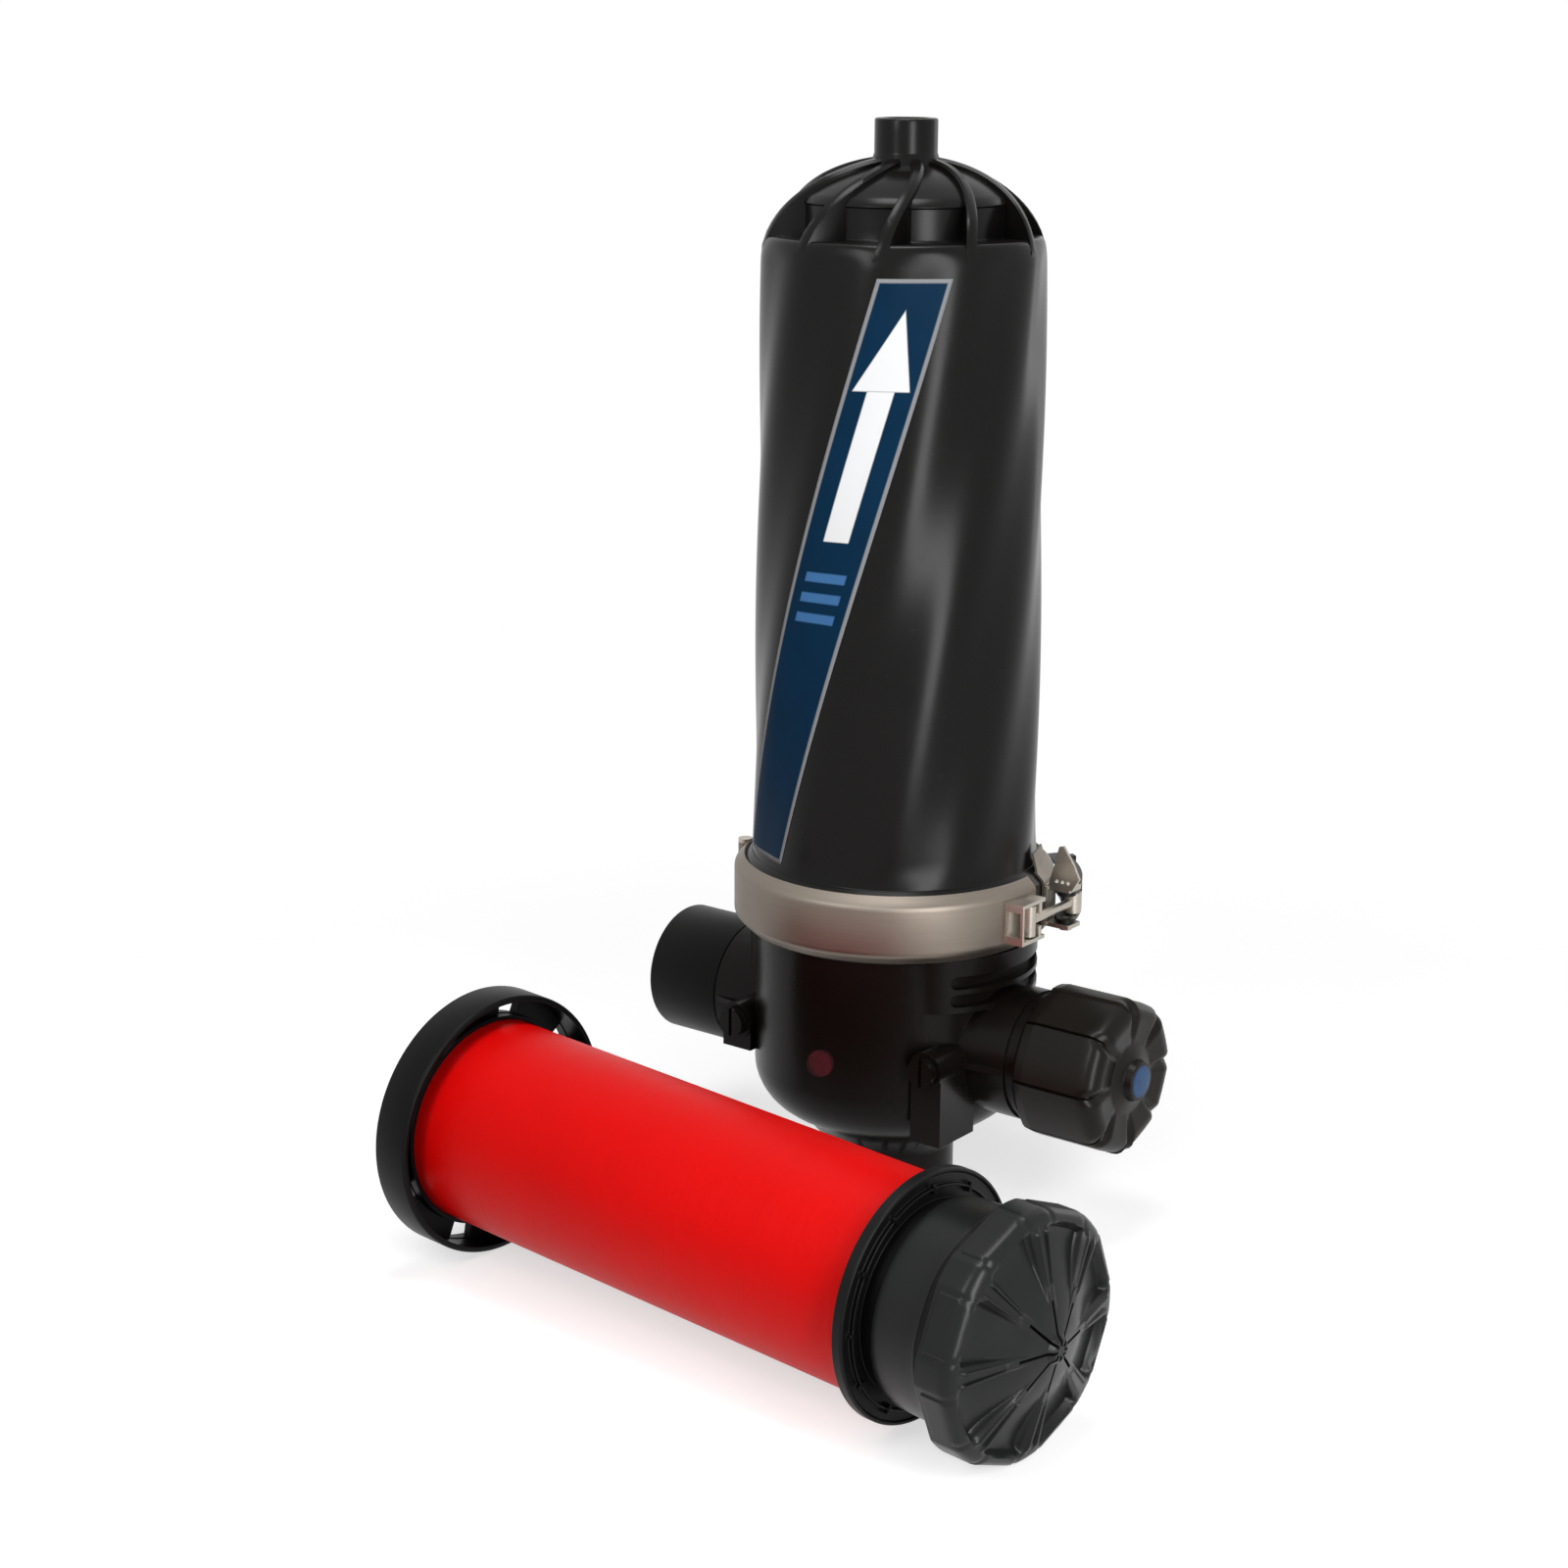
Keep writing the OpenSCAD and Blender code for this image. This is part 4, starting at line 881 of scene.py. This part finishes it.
def smooth(x):
    """0 below 0, 1 above 1, and a soft step between."""
    x = np.clip(x, 0, 1)
    return x * x * (3 - 2 * x)


PANELS = 8
PITCH_A = 2 * pi / PANELS


def panel_angles(from_channel):
    """Angles all round, from the wanted ones between a channel's middle and a panel's middle, in degrees."""
    half = np.radians(from_channel)
    one = np.concatenate([half, PITCH_A - half[-2:0:-1]])
    return np.concatenate([one + i * PITCH_A for i in range(PANELS)])


def off_channel(angles):
    """Each angle's distance from the nearest channel's middle, in degrees."""
    return np.degrees(np.abs((angles + PITCH_A / 2) % PITCH_A - PITCH_A / 2))


# %% Cartridge cap
SKIRT_S, PANEL_S, SEAT_S, RIM_S, APEX_S = 395.6, 436.6, 449.6, 460.6, 480.6
CORNER_R, FLAT_R, PAD_PROUD, PAD_LEAST, CONE_R = 76.4, 73.3, 1.2, 0.05, 60
STEM_R, STEM_END_S, NUT_R, NUT_S = 12.05, SEAT_S + 13, 20, SEAT_S - 22
SKIRT_IN_R, SKIRT_R, TIP_R, TIP_TOP_R = 59.2, 63.8, 9, 6
CAP_PARTS = [0, 3, 0, 0, 0, 4, 0, 6, 2, 0, 1, 0, 4, 5, 22, 0, 0, 0]


def cap_outline(side_r, pad):
    """The cap's outline at one angle, from the radius of its side and how far a pad stands out of it."""
    return spaced([
        (0, STEM_END_S, 0), (STEM_R, STEM_END_S, 0), (STEM_R, NUT_S, 0), (NUT_R, NUT_S, 0),
        (NUT_R, SEAT_S, 0), (SKIRT_IN_R, SEAT_S, 0), (SKIRT_IN_R, SKIRT_S, 0.4), (SKIRT_R, SKIRT_S, 0.9),
        (SKIRT_R + 1.4, PANEL_S - 8, 5.0), (side_r - 1.2, PANEL_S, 0.5), (side_r, PANEL_S + 1.5, 0.6),
        (side_r, PANEL_S + 4.4, 0.3), (side_r + pad, PANEL_S + 5.2, 0.4), (side_r + pad, RIM_S + 0.3, 8.0),
        (CONE_R, RIM_S + 4, 0), (TIP_R, APEX_S - 3, 1.0), (TIP_TOP_R, APEX_S, 0.8), (0, APEX_S, 0),
    ], CAP_PARTS, steps=4)


RIB_A, RIB_WIDE_A, RIB_FROM_R, RIB_LOW, RIB_RISE = 3.4, 0.75, 34.5, 1.0, 1.6
SUNK, SUNK_FROM_R, SUNK_FROM_A, RIM_FADE_R, PAD_FROM_A = 6.0, 20, 5.2, 64, 9
near_ribs = [0, 1.3, 2.1, 2.7, 4.1, 4.7, 6.0, 6.7, 7.3, 8.2, 9]
angles = panel_angles(np.array(near_ribs + [10, 12.5, 15, 17.5, 20, 22.5]))
sections = []
for off in off_channel(angles):
    side_r = min(CORNER_R, FLAT_R / cos(radians(22.5 - off)))
    section = cap_outline(side_r, PAD_LEAST + (PAD_PROUD - PAD_LEAST) * float(smooth(off - PAD_FROM_A)))
    r, s = section.T
    front = (s > RIM_S - 1) & (r > TIP_R + 0.5)
    to_edge = 1 - smooth((r - RIM_FADE_R) / 5)
    sunk = SUNK * smooth((r - SUNK_FROM_R) / 40) * smooth((off - SUNK_FROM_A) / 2.8) * to_edge
    rib_high = RIB_LOW + RIB_RISE * np.clip((r - 36) / 30, 0, 1)
    beside_rib = abs(off - RIB_A) / RIB_WIDE_A
    rib = rib_high * smooth(1.6 - beside_rib) * smooth((r - RIB_FROM_R) / 2) * to_edge
    section[:, 1] = s + front * (rib - sunk)
    sections.append(section)
cap_mesh = lofted(sections, angles)


# %% Slits and knobs of the cartridge cap
def block(low, high):
    """A box between two corners, in mm."""
    xs, ys, zs = zip(low, high)
    corners = [(x * MM, y * MM, z * MM) for x in xs for y in ys for z in zs]
    sides = [(0, 1, 3, 2), (4, 6, 7, 5), (0, 4, 5, 1), (2, 3, 7, 6), (0, 2, 6, 4), (1, 5, 7, 3)]
    return closed("block", corners, sides)


SLIT_FROM, SLIT_TO, SLIT_W = 3, 28, 1.8
slit = block((SLIT_FROM, -SLIT_W / 2, APEX_S - 12), (SLIT_TO, SLIT_W / 2, APEX_S + 8))
slits = grown(ring_tree, slit, {"Count": PANELS, "First angle": 0.0, "Finish": cap_grey})
KNOB_R, KNOB_AT, KNOB_LOW, KNOB_UP = 2.4, 35.5, -3, 1.8
KNOB_CONE_R, KNOB_CONE_H = 65.5, 17
outline = rounded([(0, KNOB_LOW, 0), (KNOB_R, KNOB_LOW, 0), (KNOB_R, KNOB_UP, 1.2), (0, KNOB_UP, 0)])
knob = turned(outline, 20)
knob_s = RIM_S + KNOB_CONE_H * (KNOB_CONE_R - KNOB_AT) / (KNOB_CONE_R - TIP_TOP_R)
knob.transform(Matrix.Translation(Vector((KNOB_AT, 0, knob_s)) * MM))
knobs = grown(ring_tree, knob, {"Count": PANELS, "First angle": 0.0, "Finish": cap_grey})
cap_mesh = joined(combined(cap_mesh, slits, "DIFFERENCE"), knobs)
piece("cartridge_cap", cap_mesh, cap_grey, "end_cap", "end_cap", place=LYING, sharp=radians(40))

# %% Side port's cap
CAP_BACK, CAP_IN, CAP_RIM, CAP_TIP = 132, 180, 197, 202
SPOT_R, DISH_R, CAP_BORE_R, CAP_LIP_R = 13, 24, 43.35, 48.3
CHANNEL_R, PANEL_R, STRIP_R, STRIP_A, LOBE_DEPTH = 49.6, 50.6, 53.4, radians(6.3), 6
PORT_Z = 115
ALONG_PORT = Matrix.Translation((0, 0, PORT_Z * MM)) @ Matrix.Rotation(pi / 2, 4, "Y")


def port_cap_outline(side_r, front):
    """The port cap's outline at one angle, from the radius of its side and the place of its front edge."""
    return spaced([
        (0, CAP_IN, 0), (CAP_BORE_R, CAP_IN, 0), (CAP_BORE_R, CAP_BACK, 0.4), (CAP_LIP_R, CAP_BACK, 1.0),
        (side_r - 1.2, CAP_BACK + 2.5, 1.0), (side_r, CAP_BACK + 9, 2.0), (side_r, front, 10.0),
        (DISH_R, CAP_TIP - 9, 6.0), (SPOT_R + 1.5, CAP_TIP - 6, 1.0), (SPOT_R, CAP_TIP - 0.6, 0.8),
        (0, CAP_TIP - 0.6, 0),
    ], [3, 4, 0, 0, 0, 8, 8, 3, 1, 2, 0], steps=5)


angles = panel_angles(np.array([0, 0.5, 0.9, 1.3, 2, 3, 4.5, 6, 6.6, 8, 11, 14, 17, 20, 22.5]))
sections = []
for a, off in zip(angles, off_channel(angles)):
    on_panel = float(smooth((off - 0.4) / 0.9))
    lobe = float(smooth((off + 1) / 9))
    flat_r = PANEL_R * (0.45 + 0.55 / cos(radians(22.5 - off)))
    on_strip = abs(sin(a)) < sin(STRIP_A)
    side_r = STRIP_R if on_strip else CHANNEL_R + (flat_r - CHANNEL_R) * on_panel
    sections.append(port_cap_outline(side_r, CAP_RIM - LOBE_DEPTH * (1 - lobe)))
cap_mesh = lofted(sections, angles)
piece("cap_of_side_port", cap_mesh, cap_black, "port_cap", "port_cap", place=ALONG_PORT, sharp=radians(36))

# %% [markdown]
# ## Stickers
# Two round stickers mark the housing: a dark red one on the bowl and a blue one on the port's cap. They are
# thin discs without print. The red one is laid on the bowl by casting rays from the camera through its
# outline on the photograph, so that it follows the curved wall.

# %% Sticker finishes
def sticker(name, code, rim_code, middle, radius):
    """A printed disc: one colour, a darker rim, and a little fading."""
    made, tree, shader = shaded(name)
    place = object_place(tree)
    off = node(tree, "ShaderNodeVectorMath", {0: place, 1: middle}, operation="DISTANCE").outputs["Value"]
    faded = noise(tree, place, 180.0, 4.0)
    ink = blend_colour(tree, spread(tree, faded, 0.35, 0.7, 0.0, 0.5), colour(code), colour(rim_code))
    rim = spread(tree, off, radius * 0.8, radius * 0.86)
    tree.links.new(blend_colour(tree, rim, ink, colour(rim_code)), shader.inputs["Base Color"])
    tree.links.new(spread(tree, faded, 0.2, 0.8, 0.3, 0.45), shader.inputs["Roughness"])
    shader.inputs["Specular IOR Level"].default_value = 0.2
    return made


# %% Red sticker on the bowl
STICKER_X, STICKER_Y, STICKER_PX = 837, 1085, 14
STICKER_RINGS, STICKER_SIDES, STICKER_T, STICKER_SUNK = 5, 40, 0.25, 0.5
bowl = BVHTree.FromObject(bpy.data.objects["body_moulding"], bpy.context.evaluated_depsgraph_get())
points = []
for ring in range(STICKER_RINGS + 1):
    for k in range(STICKER_SIDES):
        a, reach = 2 * pi * k / STICKER_SIDES, STICKER_PX * ring / STICKER_RINGS
        x, y = STICKER_X + reach * cos(a), STICKER_Y + reach * sin(a)
        hit, normal, _, _ = bowl.ray_cast(eye, ray_through(x, y))
        points.append((hit + normal * STICKER_T * MM, hit - normal * STICKER_SUNK * MM))
n = STICKER_SIDES
top = [tuple(p[0]) for p in points]
under = [tuple(p[1]) for p in points[-n:]]
faces = [(r * n + k, r * n + (k + 1) % n, (r + 1) * n + (k + 1) % n, (r + 1) * n + k)
         for r in range(STICKER_RINGS) for k in range(n)]
base = len(top)
rim = STICKER_RINGS * n
faces += [(rim + k, rim + (k + 1) % n, base + (k + 1) % n, base + k) for k in range(n)]
faces.append(tuple(base + k for k in range(n)))
middle = Vector(top[0])
red_sticker = sticker("sticker_red", "#4d1c22", "#2c1215", middle, (Vector(top[-n]) - middle).length)
piece("bowl_sticker", closed("bowl_sticker", top + under, faces), red_sticker, "housing")

# %% Blue sticker on the port's cap
BLUE_R, BLUE_LOW, BLUE_TOP = SPOT_R - 2, CAP_TIP - 1.2, CAP_TIP - 0.2
outline = rounded([(0, BLUE_LOW, 0), (BLUE_R, BLUE_LOW, 0), (BLUE_R, BLUE_TOP, 0.3), (0, BLUE_TOP, 0)])
blue_disc = turned(outline, 48)
cap_front = ALONG_PORT @ Vector((0, 0, CAP_TIP * MM))
blue_sticker = sticker("sticker_blue", "#1f4672", "#1a3a5c", cap_front, BLUE_R * MM)
piece("cap_sticker", blue_disc, blue_sticker, "port_cap", place=ALONG_PORT)

# %% [markdown]
# ## Everything else
# Pins, plugs, seals and the pieces inside keep their solids, and take the finish of what they are made of.

# %% Finishes of the remaining solids
FINISHES = {
    "lid_seal": rubber, "clamp_hinge_pin": latch_steel, "lever_pin_upper": latch_steel,
    "lever_pin_lower": latch_steel, "tee_bolt_pin": latch_steel, "port_gasket": rubber,
    "inlet_plug": body_black, "outlet_plug": body_black, "inlet_plug_seal": rubber,
    "outlet_plug_seal": rubber, "base_seal": rubber, "spine": spine_grey, "tie_rod": rod_steel,
    "spring_seat": rod_steel,
}
for name, finish in FINISHES.items():
    mesh = frame["nodes"][name].data
    mesh.materials.clear()
    mesh.materials.append(finish)
print("solids dressed:", len(FINISHES))
